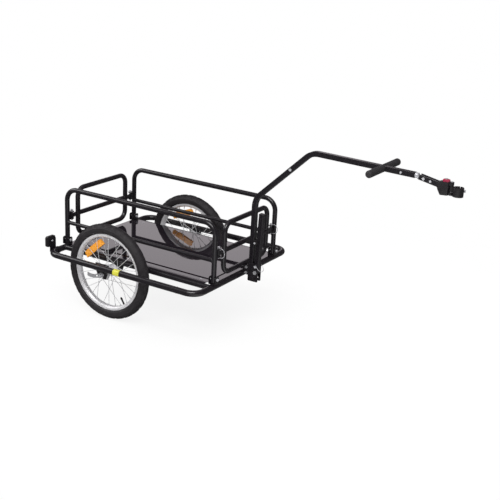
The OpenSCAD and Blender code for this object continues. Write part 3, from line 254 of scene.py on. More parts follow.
def prism_group():
    """Reflector lens: rows of small prisms. Each cell is painted between a shaded prism and a lit one:
    painted shade and painted glints where the prisms would catch the light one by one.
    """
    # Colour of a shaded prism and colour of a glint, both painted into the lens colour
    prism_shade_colour = (0.25, 0.03, 0.0, 1)
    glint_colour = (1.0, 0.7, 0.25, 1)
    glint_share, rough_swing, rough_least = 0.2, 0.15, 0.1
    group, given, out = new_group("Lens prisms", ("Color", "Color", (0.9, 0.4, 0.05, 1)),
                                  ("Cells", "Float", 260.0), ("Depth", "Float", 0.5))
    link = group.links.new
    cells = node(group, "TexVoronoi", {"Vector": given["Vector"], "Scale": given["Cells"],
                                       "Randomness": 0.15})
    tone = node(group, "SeparateColor", {"Color": cells.outputs["Color"]})
    # Painted shade: the lens colour darkened towards a shaded prism, as far as the Prism shade input
    # says
    shaded_prism = blend_colour(group, given["Depth"], given["Color"], prism_shade_colour)
    # Painted glint: the lens colour paled towards a lit prism
    glint = blend_colour(group, glint_share, given["Color"], glint_colour)
    # Each cell takes a random tone between the painted shade and the painted glint
    link(blend_colour(group, tone.outputs[0], shaded_prism, glint), out["Color"])
    link(math_node(group, "MULTIPLY_ADD", tone.outputs[1], rough_swing, rough_least),
         out["Roughness"])
    link(cells.outputs["Distance"], out["Height"])
    return group


GROUPS = {}


def group_for(name):
    makers = {"paint": paint_group, "grain": grain_group, "metal": metal_group, "prism": prism_group}
    if name not in GROUPS:
        GROUPS[name] = makers[name]()
    return GROUPS[name]


# Materials

def finish(name, kind, base, values, bump, depth, **shader):
    """A material: one of the groups feeds the shader's colour, roughness and normal."""
    material = bpy.data.materials.get(name)
    if material:
        return material
    material = bpy.data.materials.new(name)
    material.use_nodes = True
    tree = material.node_tree
    surface = tree.nodes["Principled BSDF"]
    place = node(tree, "TexCoord").outputs["Object"]
    look = node(tree, "Group")
    look.node_tree = group_for(kind)
    tree.links.new(place, look.inputs["Vector"])
    look.inputs["Color"].default_value = base
    for key, value in values.items():
        look.inputs[key].default_value = value
    tree.links.new(look.outputs["Color"], surface.inputs["Base Color"])
    tree.links.new(look.outputs["Roughness"], surface.inputs["Roughness"])
    ripple = node(tree, "Bump", {"Height": look.outputs["Height"], "Strength": bump,
                                 "Distance": depth})
    tree.links.new(ripple.outputs[0], surface.inputs["Normal"])
    for key, value in shader.items():
        title = key.replace("_", " ").title().replace("Ior", "IOR")
        surface.inputs[title].default_value = value
    return material


def gloss_paint():
    return finish("Gloss black paint", "paint", tint("paint"), {"Gloss": 0.3, "Dust": 0.12},
                  bump=0.06, depth=0.0002, coat_weight=0.35, coat_roughness=0.08)


def floor_gloss():
    return finish("Gloss black sheet", "paint", tint("sheet"),
                  {"Gloss": 0.03, "Peel": 60.0, "Dust": 0.06}, bump=0.01, depth=0.0003, ior=1.9)


def moulding():
    return finish("Black moulding", "grain", tint("moulding"), {"Rough": 0.36, "Bloom": 0.05},
                  bump=0.15, depth=0.0002)


def tyre_rubber():
    return finish("Tyre rubber", "grain", tint("tyre"),
                  {"Rough": 0.55, "Grain": 420.0, "Bloom": 0.05}, bump=0.15, depth=0.0003,
                  specular_ior_level=0.4)


def grip_foam():
    return finish("Grip foam", "grain", tint("foam"), {"Rough": 0.6, "Grain": 700.0, "Bloom": 0.03},
                  bump=0.25, depth=0.0003, specular_ior_level=0.4)


def zinc():
    return finish("Zinc plate", "metal", tint("steel"), {"Rough": 0.2, "Marks": 0.18}, bump=0.06,
                  depth=0.0001, metallic=0.45)


def spoke_steel():
    return finish("Spoke steel", "metal", tint("spoke"), {"Rough": 0.22, "Marks": 0.04}, bump=0.04,
                  depth=0.0001, metallic=0.35)


def rim_alloy():
    return finish("Rim alloy", "metal", tint("alloy"),
                  {"Rough": 0.28, "Stretch": (1.0, 9.0, 1.0), "Marks": 0.1}, bump=0.08,
                  depth=0.0001, metallic=0.3)


def lever_satin():
    return finish("Lever satin", "metal", tint("lever"),
                  {"Rough": 0.3, "Stretch": (0.3, 1.0, 4.0), "Marks": 0.12}, bump=0.08,
                  depth=0.0001, metallic=0.6)


# The lens and film finishes below use the prism group, whose cells carry painted glints and painted
# shade
def amber_lens():
    return finish("Amber lens", "prism", tint("amber"), {"Cells": 240.0, "Depth": 0.35}, bump=0.5,
                  depth=0.0006, coat_weight=0.7, coat_roughness=0.04)


def red_lens():
    return finish("Red lens", "prism", tint("red"), {"Cells": 240.0, "Depth": 0.6}, bump=0.5,
                  depth=0.0006, coat_weight=0.7, coat_roughness=0.04)


def button_plastic():
    return finish("Button plastic", "grain", tint("button"),
                  {"Rough": 0.34, "Grain": 1200.0, "Bloom": 0.08}, bump=0.1, depth=0.0002)


def button_cap():
    return finish("Button cap", "grain", tint("cap"), {"Rough": 0.4, "Grain": 1200.0, "Bloom": 0.1},
                  bump=0.1, depth=0.0002)


def band_film():
    return finish("Reflective film", "prism", tint("band"), {"Cells": 420.0, "Depth": 0.12},
                  bump=0.2, depth=0.0002, coat_weight=0.5, coat_roughness=0.1)


# Making and placing pieces

SAME_POINT = 2e-6
FLAT_ANGLE = math.radians(1.0)
ROUNDED_ANGLE = math.radians(32)
FACES_WAY = 0.9


def paint_node(name, material):
    """Gives a carried CAD node its material in place of its plain ones."""
    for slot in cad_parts[name].material_slots:
        slot.material = material


def add_piece(name, form, material, body, stands_for=(), smooth=True):
    """Turns a bmesh into an object that rides on a body."""
    mesh = bpy.data.meshes.new(name)
    for face in form.faces:
        face.smooth = smooth
    form.to_mesh(mesh)
    form.free()
    made = bpy.data.objects.new(name, mesh)
    bpy.context.scene.collection.objects.link(made)
    mesh.materials.append(material)
    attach(made, body)
    if stands_for:
        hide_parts(*stands_for)
    return made


def sharpen(made, angle=30):
    """Keeps edges sharper than the angle crisp while the rest is shaded smooth."""
    limit = math.radians(angle)
    form = bmesh.new()
    form.from_mesh(made.data)
    for edge in form.edges:
        edge.smooth = len(edge.link_faces) == 2 and edge.calc_face_angle(0) < limit
    form.to_mesh(made.data)
    form.free()


def soften(name, width, material, body):
    """A copy of a CAD node with its sharp edges rounded, standing for the node."""
    form = bmesh.new()
    form.from_mesh(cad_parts[name].data)
    bmesh.ops.remove_doubles(form, verts=form.verts[:], dist=SAME_POINT)
    bmesh.ops.dissolve_limit(form, angle_limit=FLAT_ANGLE, verts=form.verts[:],
                             edges=form.edges[:], delimit=set())
    sharp = [e for e in form.edges
             if len(e.link_faces) == 2 and e.calc_face_angle(0) > ROUNDED_ANGLE]
    bmesh.ops.bevel(form, geom=sharp, offset=width, offset_type="OFFSET", segments=2, profile=0.5,
                    affect="EDGES", clamp_overlap=True, material=-1)
    bmesh.ops.triangulate(form, faces=[f for f in form.faces if len(f.verts) > 4])
    made = add_piece("soft_" + name, form, material, body, stands_for=(name,))
    sharpen(made)


def facing(way):
    """The turn that points a form's own Z along a direction."""
    return way.to_track_quat("Z", "Y").to_matrix().to_4x4()


def end_faces(form):
    """The round end faces of a cone or cylinder."""
    return [f for f in form.faces if len(f.verts) > 4]


def spun_ring(form, centre, axis, ring_r, bead_r, steps=28, corners=8):
    """A torus: a small circle spun round an axis. Returns its vertices."""
    axis = axis.normalized()
    side = axis.orthogonal().normalized()
    turn = Matrix((side, axis, side.cross(axis))).transposed().to_4x4()
    start = bmesh.ops.create_circle(form, segments=corners, radius=bead_r,
                                    matrix=Matrix.Translation(centre + side * ring_r) @ turn)
    edges = list({e for v in start["verts"] for e in v.link_edges})
    before = set(form.verts)
    bmesh.ops.spin(form, geom=start["verts"] + edges, cent=centre, axis=axis, angle=math.tau,
                   steps=steps, use_merge=True)
    return start["verts"] + [v for v in form.verts if v not in before]


def saddle_bead(form, centre, along, across, small_r, big_r):
    """A weld bead where a small tube meets a bigger one, bent to the shape of the joint."""
    outward, lift = 0.25, 0.35
    bead = sizes().weld_r
    side = along.cross(across).normalized()
    for v in spun_ring(form, centre, along, small_r + bead * outward, bead):
        off = min(abs((v.co - centre).dot(side)), big_r)
        v.co += along * (math.sqrt(big_r ** 2 - off ** 2) + bead * lift)


def ripple_bead(verts, centre, axis, pitch=0.0022, depth=0.00028):
    """Small overlapping scales along a bead, as a torch leaves them."""
    least_r = 1e-5
    side = axis.orthogonal().normalized()
    other = axis.cross(side)
    for v in verts:
        arm = v.co - centre
        flat = arm - axis * arm.dot(axis)
        if flat.length > least_r:
            turn = math.atan2(flat.dot(other), flat.dot(side))
            v.co += flat.normalized() * depth * math.sin(turn * flat.length / pitch)


def rod_bead(form, start, end, radius):
    """A straight bead with blunt ends between two points."""
    way = end - start
    at = Matrix.Translation((start + end) / 2) @ facing(way)
    made = bmesh.ops.create_cone(form, cap_ends=True, segments=10, radius1=radius, radius2=radius,
                                 depth=way.length, matrix=at)
    caps = [f for f in {f for v in made["verts"] for f in v.link_faces} if len(f.verts) > 4]
    bmesh.ops.inset_individual(form, faces=caps, thickness=radius * 0.35, depth=radius * 0.5)


# Main places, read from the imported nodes

class Places:
    """Positions that several pieces share, read from the boxes of the CAD nodes."""

    rail_bar_rise = 0.105
    gate_bar_rise = 0.094
    mid_r = 0.008
    member_r = 0.01
    half_gate = 0.156

    def __init__(self):
        self.rear_x = middle("gate_rear").x
        self.front_x = middle("gate_front").x
        low, high = node_box("outer_rail_left")
        self.bed_z = (low.z + high.z) / 2
        self.half_bed = (low.y + high.y) / 2
        self.rail_low, self.rail_high = low.x, high.x
        self.bed_r = (high.z - low.z) / 2
        low, high = node_box("inner_rails")
        self.inner_r = (high.z - low.z) / 2
        self.half_inner = high.y - self.inner_r
        low, high = node_box("side_rail_left")
        self.rail_r = (high.y - low.y) / 2
        self.half_rails = (low.y + high.y) / 2
        self.rail_mid = self.bed_z + self.rail_bar_rise
        low, high = node_box("gate_front")
        self.gate_mid = low.z + self.rail_r + self.gate_bar_rise
        low, high = node_box("cross_members")
        self.member_xs = [low.x + self.member_r, (low.x + high.x) / 2, high.x - self.member_r]
        self.member_z = (low.z + high.z) / 2
        self.wheel = {side: middle(f"tyre_{side}") for side, _ in SIDES}


PLACES = Places()


# Operators

class TRAILER_OT_finishes(bpy.types.Operator):
    """Give every carried CAD node its procedural finish"""

    bl_idname = "trailer.finishes"
    bl_label = "Finishes"

    def execute(self, context):
        by_finish = (
            (gloss_paint(), ("outer_rail_left", "outer_rail_right", "front_tube", "rear_tube",
                             "inner_rails", "cross_members", "side_rail_left", "side_rail_right",
                             "gate_front", "gate_rear", "drawbar_lower", "drawbar_upper",
                             "parking_leg", "reflector_bracket", "hitch_arm", *PLATES)),
            (floor_gloss(), ("floor_panel",)),
            (zinc(), ("floor_rivets", "foot_bolts", "lock_pins", "drawbar_bolts", "hand_bar",
                      "axle_left", "axle_right", "skewer_left", "skewer_right", "swivel_eye",
                      "arm_pins", "clamp_bolt", "wire_front_left", "wire_front_right",
                      "wire_rear_left", "wire_rear_right", "wire_leg")),
            (spoke_steel(), ("spokes_left", "spokes_right")),
            (rim_alloy(), ("rim_left", "rim_right", "hub_left", "hub_right")),
            (amber_lens(), ("spoke_mark_left", "spoke_mark_right")),
            (band_film(), ("reflective_band",)),
            (grip_foam(), ("hand_grips",)),
            (tyre_rubber(), ("inner_tube_left", "inner_tube_right", "tyre_left", "tyre_right")),
            (moulding(), ("leg_foot", "leg_clip", "rear_reflector", "hitch_head", "post_clamp")),
            (lever_satin(), ("qr_lever_left", "qr_lever_right", "bracket_bolts")),
            (button_plastic(), ("release_button",)),
        )
        for material, names in by_finish:
            for name in names:
                paint_node(name, material)
        return {"FINISHED"}


class TRAILER_OT_edges(bpy.types.Operator):
    """Round the edges of plates, brackets and mouldings"""

    bl_idname = "trailer.edges"
    bl_label = "Rounded edges"

    def execute(self, context):
        rows = [(name, 0.7, gloss_paint, "frame") for name in PLATES]
        rows += [("leg_clip", 1.0, moulding, "frame"), ("rear_reflector", 2.0, moulding, "frame")]
        rows += [(f"qr_lever_{side}", 1.4, lever_satin, f"lever_{side}") for side, _ in SIDES]
        rows += [("hitch_head", 2.0, moulding, "hitch"), ("post_clamp", 1.6, moulding, "clamp"),
                 ("release_button", 3.2, button_plastic, "button")]
        for name, share, material, body in rows:
            soften(name, sizes().edge_r * share, material(), body)
        return {"FINISHED"}


class TRAILER_OT_welds(bpy.types.Operator):
    """Lay the weld beads at the frame's joints"""

    bl_idname = "trailer.welds"
    bl_label = "Weld beads"

    ring_sink = 0.0002
    ring_share = 0.6
    plate_out, plate_in = 0.0006, 0.0036
    rod_inset, rod_rise = 0.004, 0.004

    def execute(self, context):
        p = PLACES
        bead = sizes().weld_r
        form = bmesh.new()
        for _, s in SIDES:
            for x, way in ((p.rear_x, X), (p.front_x, -X)):
                at = Vector((x, s * p.half_inner, p.bed_z))
                saddle_bead(form, at, way, Y, p.inner_r, p.bed_r)
                mid = Vector((x, s * p.half_rails, p.rail_mid))
                saddle_bead(form, mid, way, Z, p.mid_r, p.rail_r)
                gate = Vector((x, s * p.half_gate, p.gate_mid))
                saddle_bead(form, gate, -Y * s, Z, p.mid_r, p.rail_r)
            for x in p.member_xs:
                at = Vector((x, s * p.half_inner, p.member_z))
                saddle_bead(form, at, -Y * s, X, p.member_r, p.inner_r)
            for x in (p.rail_low, p.rail_high):
                at = Vector((x, s * p.half_bed, p.bed_z))
                ring = spun_ring(form, at, X, p.bed_r - self.ring_sink, bead * self.ring_share,
                                 steps=40)
                ripple_bead(ring, at, X)
        low, high = node_box("dropouts")
        for _, s in SIDES:
            for y in (s * (high.y + self.plate_out), s * (p.half_inner - p.inner_r - self.plate_in)):
                start = Vector((low.x + self.rod_inset, y, p.bed_z + self.rod_rise))
                rod_bead(form, start, start + X * (high.x - low.x - 2 * self.rod_inset), bead)
        add_piece("weld_beads", form, gloss_paint(), "frame")
        return {"FINISHED"}


class TyreForm:
    """The tyre's section and tread, from the axle and from the wheel's middle plane."""

    bead_r, bead_y = 0.1529, 0.0089
    flange_r, flange_y = 0.1590, 0.0117
    lining_r = 0.1562
    section_r = 0.1760
    section_h, section_w = 0.0208, 0.0215
    angles = (-46, -38, -31, -29, -27, -25, -18, -8, 2, 12, 14, 16, 18, 24, 31, 38, 46, 54, 62, 70,
              80, 90)
    rib_angles = (-29, -27, 14, 16)
    rib_h = 0.0006
    crown_y, crown_r, crown_rows = 0.0085, 0.19, 4
    shoulder_y, shoulder_r, shoulder_rows = (0.0090, 0.0185), 0.186, 3
    shoulder_share = 0.55
    block_gap, block_slope = 0.0007, 0.0003
    crisp_angle = 38
    same_point = 1e-5


class TRAILER_OT_tyres(bpy.types.Operator):
    """Build the tyres with their tread blocks and sidewall ribs"""

    bl_idname = "trailer.tyres"
    bl_label = "Tyres"

    def outline(self):
        """Half outline of the tyre as (radius, offset) from the bead to the crown."""
        t = TyreForm
        points = [(t.bead_r, t.bead_y), (t.bead_r, t.flange_y), (t.flange_r, t.flange_y)]
        for angle in t.angles:
            rib = t.rib_h if angle in t.rib_angles else 0.0
            turn = math.radians(angle)
            points.append((t.section_r + (t.section_h + rib) * math.sin(turn),
                           (t.section_w + rib) * math.cos(turn)))
        return points

    def casing(self, centre, steps):
        """The closed outline spun round the axle."""
        t = TyreForm
        half = self.outline()
        other = [(r, -y) for r, y in reversed(half[:-1])]
        whole = half + other + [(t.lining_r, -t.bead_y), (t.lining_r, t.bead_y)]
        form = bmesh.new()
        verts = [form.verts.new(centre + Vector((r, y, 0))) for r, y in whole]
        ring = [form.edges.new((verts[i], verts[(i + 1) % len(verts)])) for i in range(len(verts))]
        bmesh.ops.spin(form, geom=verts + ring, cent=centre, axis=Y, angle=math.tau, steps=steps,
                       use_merge=True)
        bmesh.ops.remove_doubles(form, verts=form.verts[:], dist=t.same_point)
        bmesh.ops.recalc_face_normals(form, faces=form.faces[:])
        return form

    def tyre(self, side):
        t = TyreForm
        centre = PLACES.wheel[side]
        steps = sizes().tread_steps
        form = self.casing(centre, steps)
        blocks, shoulders = [], []
        for face in form.faces:
            arm = face.calc_center_median() - centre
            radius = math.hypot(arm.x, arm.z)
            row = round((math.atan2(arm.z, arm.x) / math.tau) * steps - 0.5)
            wide = abs(arm.y)
            on_crown = wide < t.crown_y and row % t.crown_rows != 0
            on_shoulder = t.shoulder_y[0] < wide < t.shoulder_y[1] and radius > t.shoulder_r
            if on_crown and radius > t.crown_r:
                blocks.append(face)
            elif on_shoulder and row % t.shoulder_rows != 0:
                shoulders.append(face)
        height = sizes().tread_h
        for faces, rise in ((blocks, height), (shoulders, height * t.shoulder_share)):
            bmesh.ops.inset_individual(form, faces=faces, thickness=t.block_gap, depth=0.0)
            bmesh.ops.inset_individual(form, faces=faces, thickness=t.block_slope, depth=rise)
        made = add_piece(f"tread_{side}", form, tyre_rubber(), f"wheel_{side}",
                         (f"tyre_{side}",))
        sharpen(made, t.crisp_angle)

    def execute(self, context):
        for side, _ in SIDES:
            self.tyre(side)
        return {"FINISHED"}


class TRAILER_OT_wheel_trim(bpy.types.Operator):
    """Add the valve caps and hub seals"""

    bl_idname = "trailer.wheel_trim"
    bl_label = "Wheel trim"

    valve_angle, valve_reach = math.radians(57), 0.1185
    cap_base_r, cap_tip_r, cap_l = 0.0029, 0.0042, 0.009
    seal_y, seal_r, seal_bead = 0.0331, 0.0098, 0.0013

    def valve_cap(self, side):
        way = Vector((math.cos(self.valve_angle), 0, -math.sin(self.valve_angle)))
        at = Matrix.Translation(PLACES.wheel[side] + way * self.valve_reach) @ facing(way)
        form = bmesh.new()
        bmesh.ops.create_cone(form, cap_ends=True, segments=16, radius1=self.cap_base_r,
                              radius2=self.cap_tip_r, depth=self.cap_l, matrix=at)
        walls = [f for f in form.faces if len(f.verts) == 4]
        bmesh.ops.inset_individual(form, faces=walls[::2], thickness=0.0002, depth=0.0003)
        bmesh.ops.inset_individual(form, faces=end_faces(form), thickness=0.0008, depth=0.0006)
        add_piece(f"valve_cap_{side}", form, moulding(), f"wheel_{side}", smooth=False)

    def seals(self, side):
        form = bmesh.new()
        for end in (-1, 1):
            at = PLACES.wheel[side] + Y * end * self.seal_y
            spun_ring(form, at, Y, self.seal_r, self.seal_bead, steps=40)
        add_piece(f"hub_seals_{side}", form, moulding(), f"wheel_{side}")

    def execute(self, context):
        for side, _ in SIDES:
            self.valve_cap(side)
            self.seals(side)
        return {"FINISHED"}


class TRAILER_OT_reflector_lens(bpy.types.Operator):
    """Set the red lens in the rear reflector's housing"""

    bl_idname = "trailer.reflector_lens"
    bl_label = "Reflector lens"

    lens_share, lens_t, lens_out = 0.84, 0.0022, 0.0004
    corner_r = 0.0055
    rim_w, rim_h = 0.0012, 0.0008

    def execute(self, context):
        low, high = node_box("rear_reflector")
        centre = (low + high) / 2
        wide, tall = (high.y - low.y) * self.lens_share, (high.z - low.z) * self.lens_share
        form = bmesh.new()
        at = Matrix.Translation((low.x - self.lens_out, centre.y, centre.z))
        bmesh.ops.create_cube(form, size=1, matrix=at @ Matrix.Diagonal((self.lens_t, wide, tall, 1)))
        through = [e for e in form.edges
                   if abs((e.verts[0].co - e.verts[1].co).normalized().x) > FACES_WAY]
        bmesh.ops.bevel(form, geom=through, offset=self.corner_r, segments=6, profile=0.5,
                        affect="EDGES", material=-1)
        back = [f for f in form.faces if f.normal.x < -FACES_WAY]
        bmesh.ops.inset_region(form, faces=back, thickness=self.rim_w, depth=self.rim_h)
        sharpen(add_piece("reflector_lens", form, red_lens(), "frame"))
        return {"FINISHED"}


class TRAILER_OT_small_parts(bpy.types.Operator):
    """Add the reflector's screw, the button's cap and the sleeves on the gates' middle bars"""

    bl_idname = "trailer.small_parts"
    bl_label = "Small parts"

    screw_base_r, screw_top_r, screw_h, screw_share = 0.0038, 0.0028, 0.0016, 0.6
    cap_base_r, cap_top_r, cap_h, cap_rise = 0.0062, 0.0052, 0.0018, 0.0003
    sleeve_end_r, sleeve_drop, sleeve_share = 0.0082, 0.0004, 0.8
    sleeve_taper, sleeve_collar, sleeve_body = 0.004, 0.009, 0.012
    sleeve_steps = 32

    def screw(self):
        low, high = node_box("rear_reflector")
        at = Vector((high.x + self.screw_h / 2, (low.y + high.y) / 2,
                     low.z + (high.z - low.z) * self.screw_share))
        form = bmesh.new()
        bmesh.ops.create_cone(form, cap_ends=True, segments=24, radius1=self.screw_base_r,
                              radius2=self.screw_top_r, depth=self.screw_h,
                              matrix=Matrix.Translation(at) @ facing(X))
        for thickness, depth in ((0.0012, 0.0), (0.0003, -0.0009)):
            faces = [f for f in end_faces(form) if f.normal.x > FACES_WAY]
            bmesh.ops.inset_region(form, faces=faces, thickness=thickness, depth=depth)
        sharpen(add_piece("reflector_screw", form, zinc(), "frame"))

    def cap(self):
        low, high = node_box("release_button")
        at = Vector(((low.x + high.x) / 2, (low.y + high.y) / 2, high.z + self.cap_rise))
        form = bmesh.new()
        bmesh.ops.create_cone(form, cap_ends=True, segments=32, radius1=self.cap_base_r,
                              radius2=self.cap_top_r, depth=self.cap_h,
                              matrix=Matrix.Translation(at))
        faces = [f for f in end_faces(form) if f.normal.z > FACES_WAY]
        bmesh.ops.inset_region(form, faces=faces, thickness=0.0012, depth=0.0004)
        sharpen(add_piece("button_cap", form, button_cap(), "button"))

    def sleeves(self):
        p = PLACES
        form = bmesh.new()
        steps = self.sleeve_steps
        radius, half = sizes().sleeve_r, p.half_gate - p.rail_r * self.sleeve_share
        rings = ((half, self.sleeve_end_r), (half - self.sleeve_taper, radius - self.sleeve_drop),
                 (half - self.sleeve_collar, radius), (half - self.sleeve_body, radius))
        for x in (p.rear_x, p.front_x):
            loops = []
            for y, r in rings + tuple((-y, r) for y, r in reversed(rings)):
                loops.append([form.verts.new((x + r * math.cos(t), y, p.gate_mid + r * math.sin(t)))
                              for t in (math.tau * i / steps for i in range(steps))])
            for a, b in zip(loops, loops[1:]):
                for i in range(steps):
                    j = (i + 1) % steps
                    form.faces.new((a[i], a[j], b[j], b[i]))
            for loop in (loops[0], loops[-1]):
                form.faces.new(loop)
        bmesh.ops.recalc_face_normals(form, faces=form.faces[:])
        sharpen(add_piece("gate_bar_sleeves", form, gloss_paint(), "frame"), 40)

    def execute(self, context):
        self.screw()
        self.cap()
        self.sleeves()
        return {"FINISHED"}


class TRAILER_OT_floor_lips(bpy.types.Operator):
    """Fold the long edges of the floor sheet over the inner rails"""

    bl_idname = "trailer.floor_lips"
    bl_label = "Floor lips"

    sheet_gap, rail_gap = 0.0003, 0.0004
    past_rail, end_inset = 0.002, 0.028
    bend_start, bend_end = 0.003, 0.002
    bend_in, bend_down = 0.0008, 0.0006

    def execute(self, context):
        p = PLACES
        low, high = node_box("floor_panel")
        thick = sizes().sheet_t
        under = p.bed_z + p.inner_r + self.rail_gap
        top = low.z + thick
        inner, outer = high.y + self.sheet_gap, p.half_inner + self.past_rail
        profile = ((inner, top), (outer - self.bend_start, top),
                   (outer - self.bend_in, top - self.bend_down), (outer, top - self.bend_end),
                   (outer, under), (outer - thick, under), (outer - thick, low.z), (inner, low.z))
        form = bmesh.new()
        for _, s in SIDES:
            start, end = p.rear_x + self.end_inset, p.front_x - self.end_inset
            verts = [form.verts.new((start, s * y, z)) for y, z in profile]
            face = form.faces.new(verts)
            made = bmesh.ops.extrude_face_region(form, geom=[face])
            moved = [v for v in made["geom"] if isinstance(v, bmesh.types.BMVert)]
            bmesh.ops.translate(form, verts=moved, vec=X * (end - start))
        bmesh.ops.recalc_face_normals(form, faces=form.faces[:])
        sharpen(add_piece("floor_lips", form, floor_gloss(), "frame"))
        return {"FINISHED"}


class Studio:
    """The photograph's view and light. Shares are of white; ways are directions from the object."""

    azimuth, elevation, roll = (math.radians(a) for a in (30.93, 19.08, 3.11))
    lens, sensor = 69.18, 36
    from_axle, across, above = 2.3323, -3.0829, 1.5683
    near, far = 0.05, 60
    floor_drop = 0.0006
    patch_way, patch_edge, patch_light = (0.51, -0.86, 0), (0.8, 0.97), (0.12, 0.85)
    fade_reach, fade_share = (0.5, 1.6), (0.86, 1.0)
    window_way, window_edge, window_light = (-0.576, 0.817, 0.0), (0.968, 0.988), (0.1, 1.0)
    window_foot, window_head = (0.14, 0.25), (0.42, 0.52)
    roof_edge, roof_light = (0.75, 0.95), (0.07, 0.45)
    diffuse_light = 0.62
    mirrored_colour = (1.0, 0.93, 0.975, 1)
    lamp_target = (0, 0, 0.3)
    lamps = (("Key", (0.6, -2.4, 3.4), (2.6, 1.6), 95, True),
             ("Fill", (-3.2, -1.2, 2.2), (2.0, 2.0), 38, True),
             ("Back", (0.4, 3.2, 2.6), (3.0, 1.4), 45, False))


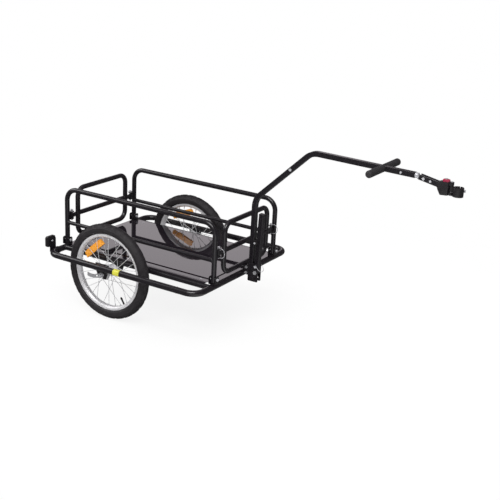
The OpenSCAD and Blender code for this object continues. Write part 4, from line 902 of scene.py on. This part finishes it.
class TRAILER_OT_stage(bpy.types.Operator):
    """Make the studio: floor, world, lamps and camera"""

    bl_idname = "trailer.stage"
    bl_label = "Studio"

    def floor_material(self):
        """Matt white with the object's shadow; mirrored, it is dark but for one bright patch."""
        s = Studio
        material = bpy.data.materials.new("Studio floor")
        material.use_nodes = True
        tree = material.node_tree
        tree.nodes.remove(tree.nodes["Principled BSDF"])
        matt = node(tree, "BsdfDiffuse", {"Color": tint("floor")})
        path = node(tree, "LightPath")
        glossy = path.outputs["Is Glossy Ray"]
        place = node(tree, "TexCoord").outputs["Object"]
        unit = vector_node(tree, "NORMALIZE", {0: place})[0]
        ahead = vector_node(tree, "DOT_PRODUCT", {0: unit, 1: s.patch_way})["Value"]
        patch = ramp(tree, ahead, *s.patch_edge, *s.patch_light)
        plain = math_node(tree, "SUBTRACT", 1.0, glossy)
        glow = math_node(tree, "MULTIPLY_ADD", glossy, patch, plain)
        white = node(tree, "Emission", {"Color": (1, 1, 1, 1), "Strength": glow})
        away = vector_node(tree, "LENGTH", {0: place})["Value"]
        fade = ramp(tree, away, *s.fade_reach, *s.fade_share)
        seen = math_node(tree, "MULTIPLY", path.outputs["Is Camera Ray"], fade)
        share = math_node(tree, "ADD", seen, glossy)
        mixed = node(tree, "MixShader", {0: share, 1: matt.outputs[0], 2: white.outputs[0]})
        tree.links.new(mixed.outputs[0], tree.nodes["Material Output"].inputs[0])
        return material

    def floor(self):
        form = bmesh.new()
        bmesh.ops.create_grid(form, x_segments=2, y_segments=2, size=sizes().stage_w / 2,
                              matrix=Matrix.Translation((0, 0, -Studio.floor_drop)))
        mesh = bpy.data.meshes.new("studio_floor")
        form.to_mesh(mesh)
        form.free()
        floor = bpy.data.objects.new("studio_floor", mesh)
        bpy.context.scene.collection.objects.link(floor)
        mesh.materials.append(self.floor_material())

    def world(self):
        """White to the camera; mirrored, it is dark but for a tall window and the roof."""
        s = Studio
        world = bpy.data.worlds.new("Studio")
        bpy.context.scene.world = world
        world.use_nodes = True
        tree = world.node_tree
        back = tree.nodes["Background"]
        path = node(tree, "LightPath")
        way = node(tree, "TexCoord").outputs["Generated"]
        up = node(tree, "SeparateXYZ", {"Vector": way}).outputs["Z"]
        level_way = vector_node(tree, "MULTIPLY", {0: way, 1: (1, 1, 0)})[0]
        unit_way = vector_node(tree, "NORMALIZE", {0: level_way})[0]
        heading = vector_node(tree, "DOT_PRODUCT", {0: unit_way, 1: s.window_way})["Value"]
        wall = ramp(tree, heading, *s.window_edge, *s.window_light)
        rise = ramp(tree, up, *s.window_foot, 0.0, 1.0)
        fall = ramp(tree, up, *s.window_head, 1.0, 0.0)
        window = math_node(tree, "MULTIPLY", math_node(tree, "MULTIPLY", rise, fall), wall)
        shown = math_node(tree, "MAXIMUM", window, ramp(tree, up, *s.roof_edge, *s.roof_light))
        glossy = path.outputs["Is Glossy Ray"]
        plain = math_node(tree, "SUBTRACT", 1.0, glossy)
        diffuse = math_node(tree, "MULTIPLY", plain, s.diffuse_light)
        level = math_node(tree, "MULTIPLY_ADD", glossy, shown, diffuse)
        seen = math_node(tree, "MAXIMUM", level, path.outputs["Is Camera Ray"])
        clear = math_node(tree, "MAXIMUM", seen, path.outputs["Is Transmission Ray"])
        tree.links.new(clear, back.inputs["Strength"])
        hue = blend_colour(tree, glossy, (1, 1, 1, 1), s.mirrored_colour)
        tree.links.new(hue, back.inputs["Color"])

    def lamp(self, name, place, wide, power, mirrored):
        data = bpy.data.lights.new(name, "AREA")
        data.shape = "RECTANGLE"
        data.size, data.size_y = wide
        data.energy = power
        made = bpy.data.objects.new(name, data)
        made.location = place
        made.visible_glossy = mirrored
        made.rotation_mode = "QUATERNION"
        made.rotation_quaternion = (Vector(place) - Vector(Studio.lamp_target)).to_track_quat("Z", "Y")
        bpy.context.scene.collection.objects.link(made)

    def camera(self):
        s = Studio
        ahead = Vector((-math.sin(s.azimuth) * math.cos(s.elevation),
                        math.cos(s.azimuth) * math.cos(s.elevation), -math.sin(s.elevation)))
        right = Vector((math.cos(s.azimuth), math.sin(s.azimuth), 0))
        up = right.cross(ahead)
        rolled_right = right * math.cos(s.roll) + up * math.sin(s.roll)
        rolled_up = up * math.cos(s.roll) - right * math.sin(s.roll)
        data = bpy.data.cameras.new("Camera")
        data.sensor_width = s.sensor
        data.lens = s.lens
        data.clip_start, data.clip_end = s.near, s.far
        camera = bpy.data.objects.new("Camera", data)
        bpy.context.scene.collection.objects.link(camera)
        turn = Matrix((rolled_right, rolled_up, -ahead)).transposed().to_4x4()
        place = (PLACES.wheel["left"].x + s.from_axle, s.across, s.above)
        camera.matrix_world = Matrix.Translation(place) @ turn
        bpy.context.scene.camera = camera

    def execute(self, context):
        self.floor()
        self.world()
        for row in Studio.lamps:
            self.lamp(*row)
        self.camera()
        bpy.context.scene.view_settings.view_transform = "Standard"
        return {"FINISHED"}


class TRAILER_PT_panel(bpy.types.Panel):
    """Lists the steps, sizes and colours in the 3D view's sidebar"""

    bl_label = "Trailer"
    bl_idname = "TRAILER_PT_panel"
    bl_space_type = "VIEW_3D"
    bl_region_type = "UI"
    bl_category = "Trailer"

    def draw(self, context):
        for operator in OPERATORS:
            self.layout.operator(operator.bl_idname)
        for name in TrailerSizes.__annotations__:
            self.layout.prop(context.scene.trailer_sizes, name)
        for name in TrailerColours.__annotations__:
            self.layout.prop(context.scene.trailer_colours, name)


OPERATORS = (TRAILER_OT_finishes, TRAILER_OT_edges, TRAILER_OT_welds, TRAILER_OT_tyres,
             TRAILER_OT_wheel_trim, TRAILER_OT_reflector_lens, TRAILER_OT_small_parts,
             TRAILER_OT_floor_lips, TRAILER_OT_stage)
CLASSES = (TrailerSizes, TrailerColours, *OPERATORS, TRAILER_PT_panel)


def register():
    for cls in CLASSES:
        bpy.utils.register_class(cls)
    bpy.types.Scene.trailer_sizes = bpy.props.PointerProperty(type=TrailerSizes)
    bpy.types.Scene.trailer_colours = bpy.props.PointerProperty(type=TrailerColours)


def unregister():
    del bpy.types.Scene.trailer_colours
    del bpy.types.Scene.trailer_sizes
    for cls in reversed(CLASSES):
        bpy.utils.unregister_class(cls)


def main():
    register()
    for operator in OPERATORS:
        area, name = operator.bl_idname.split(".")
        getattr(getattr(bpy.ops, area), name)()


if __name__ == "__main__":
    main()
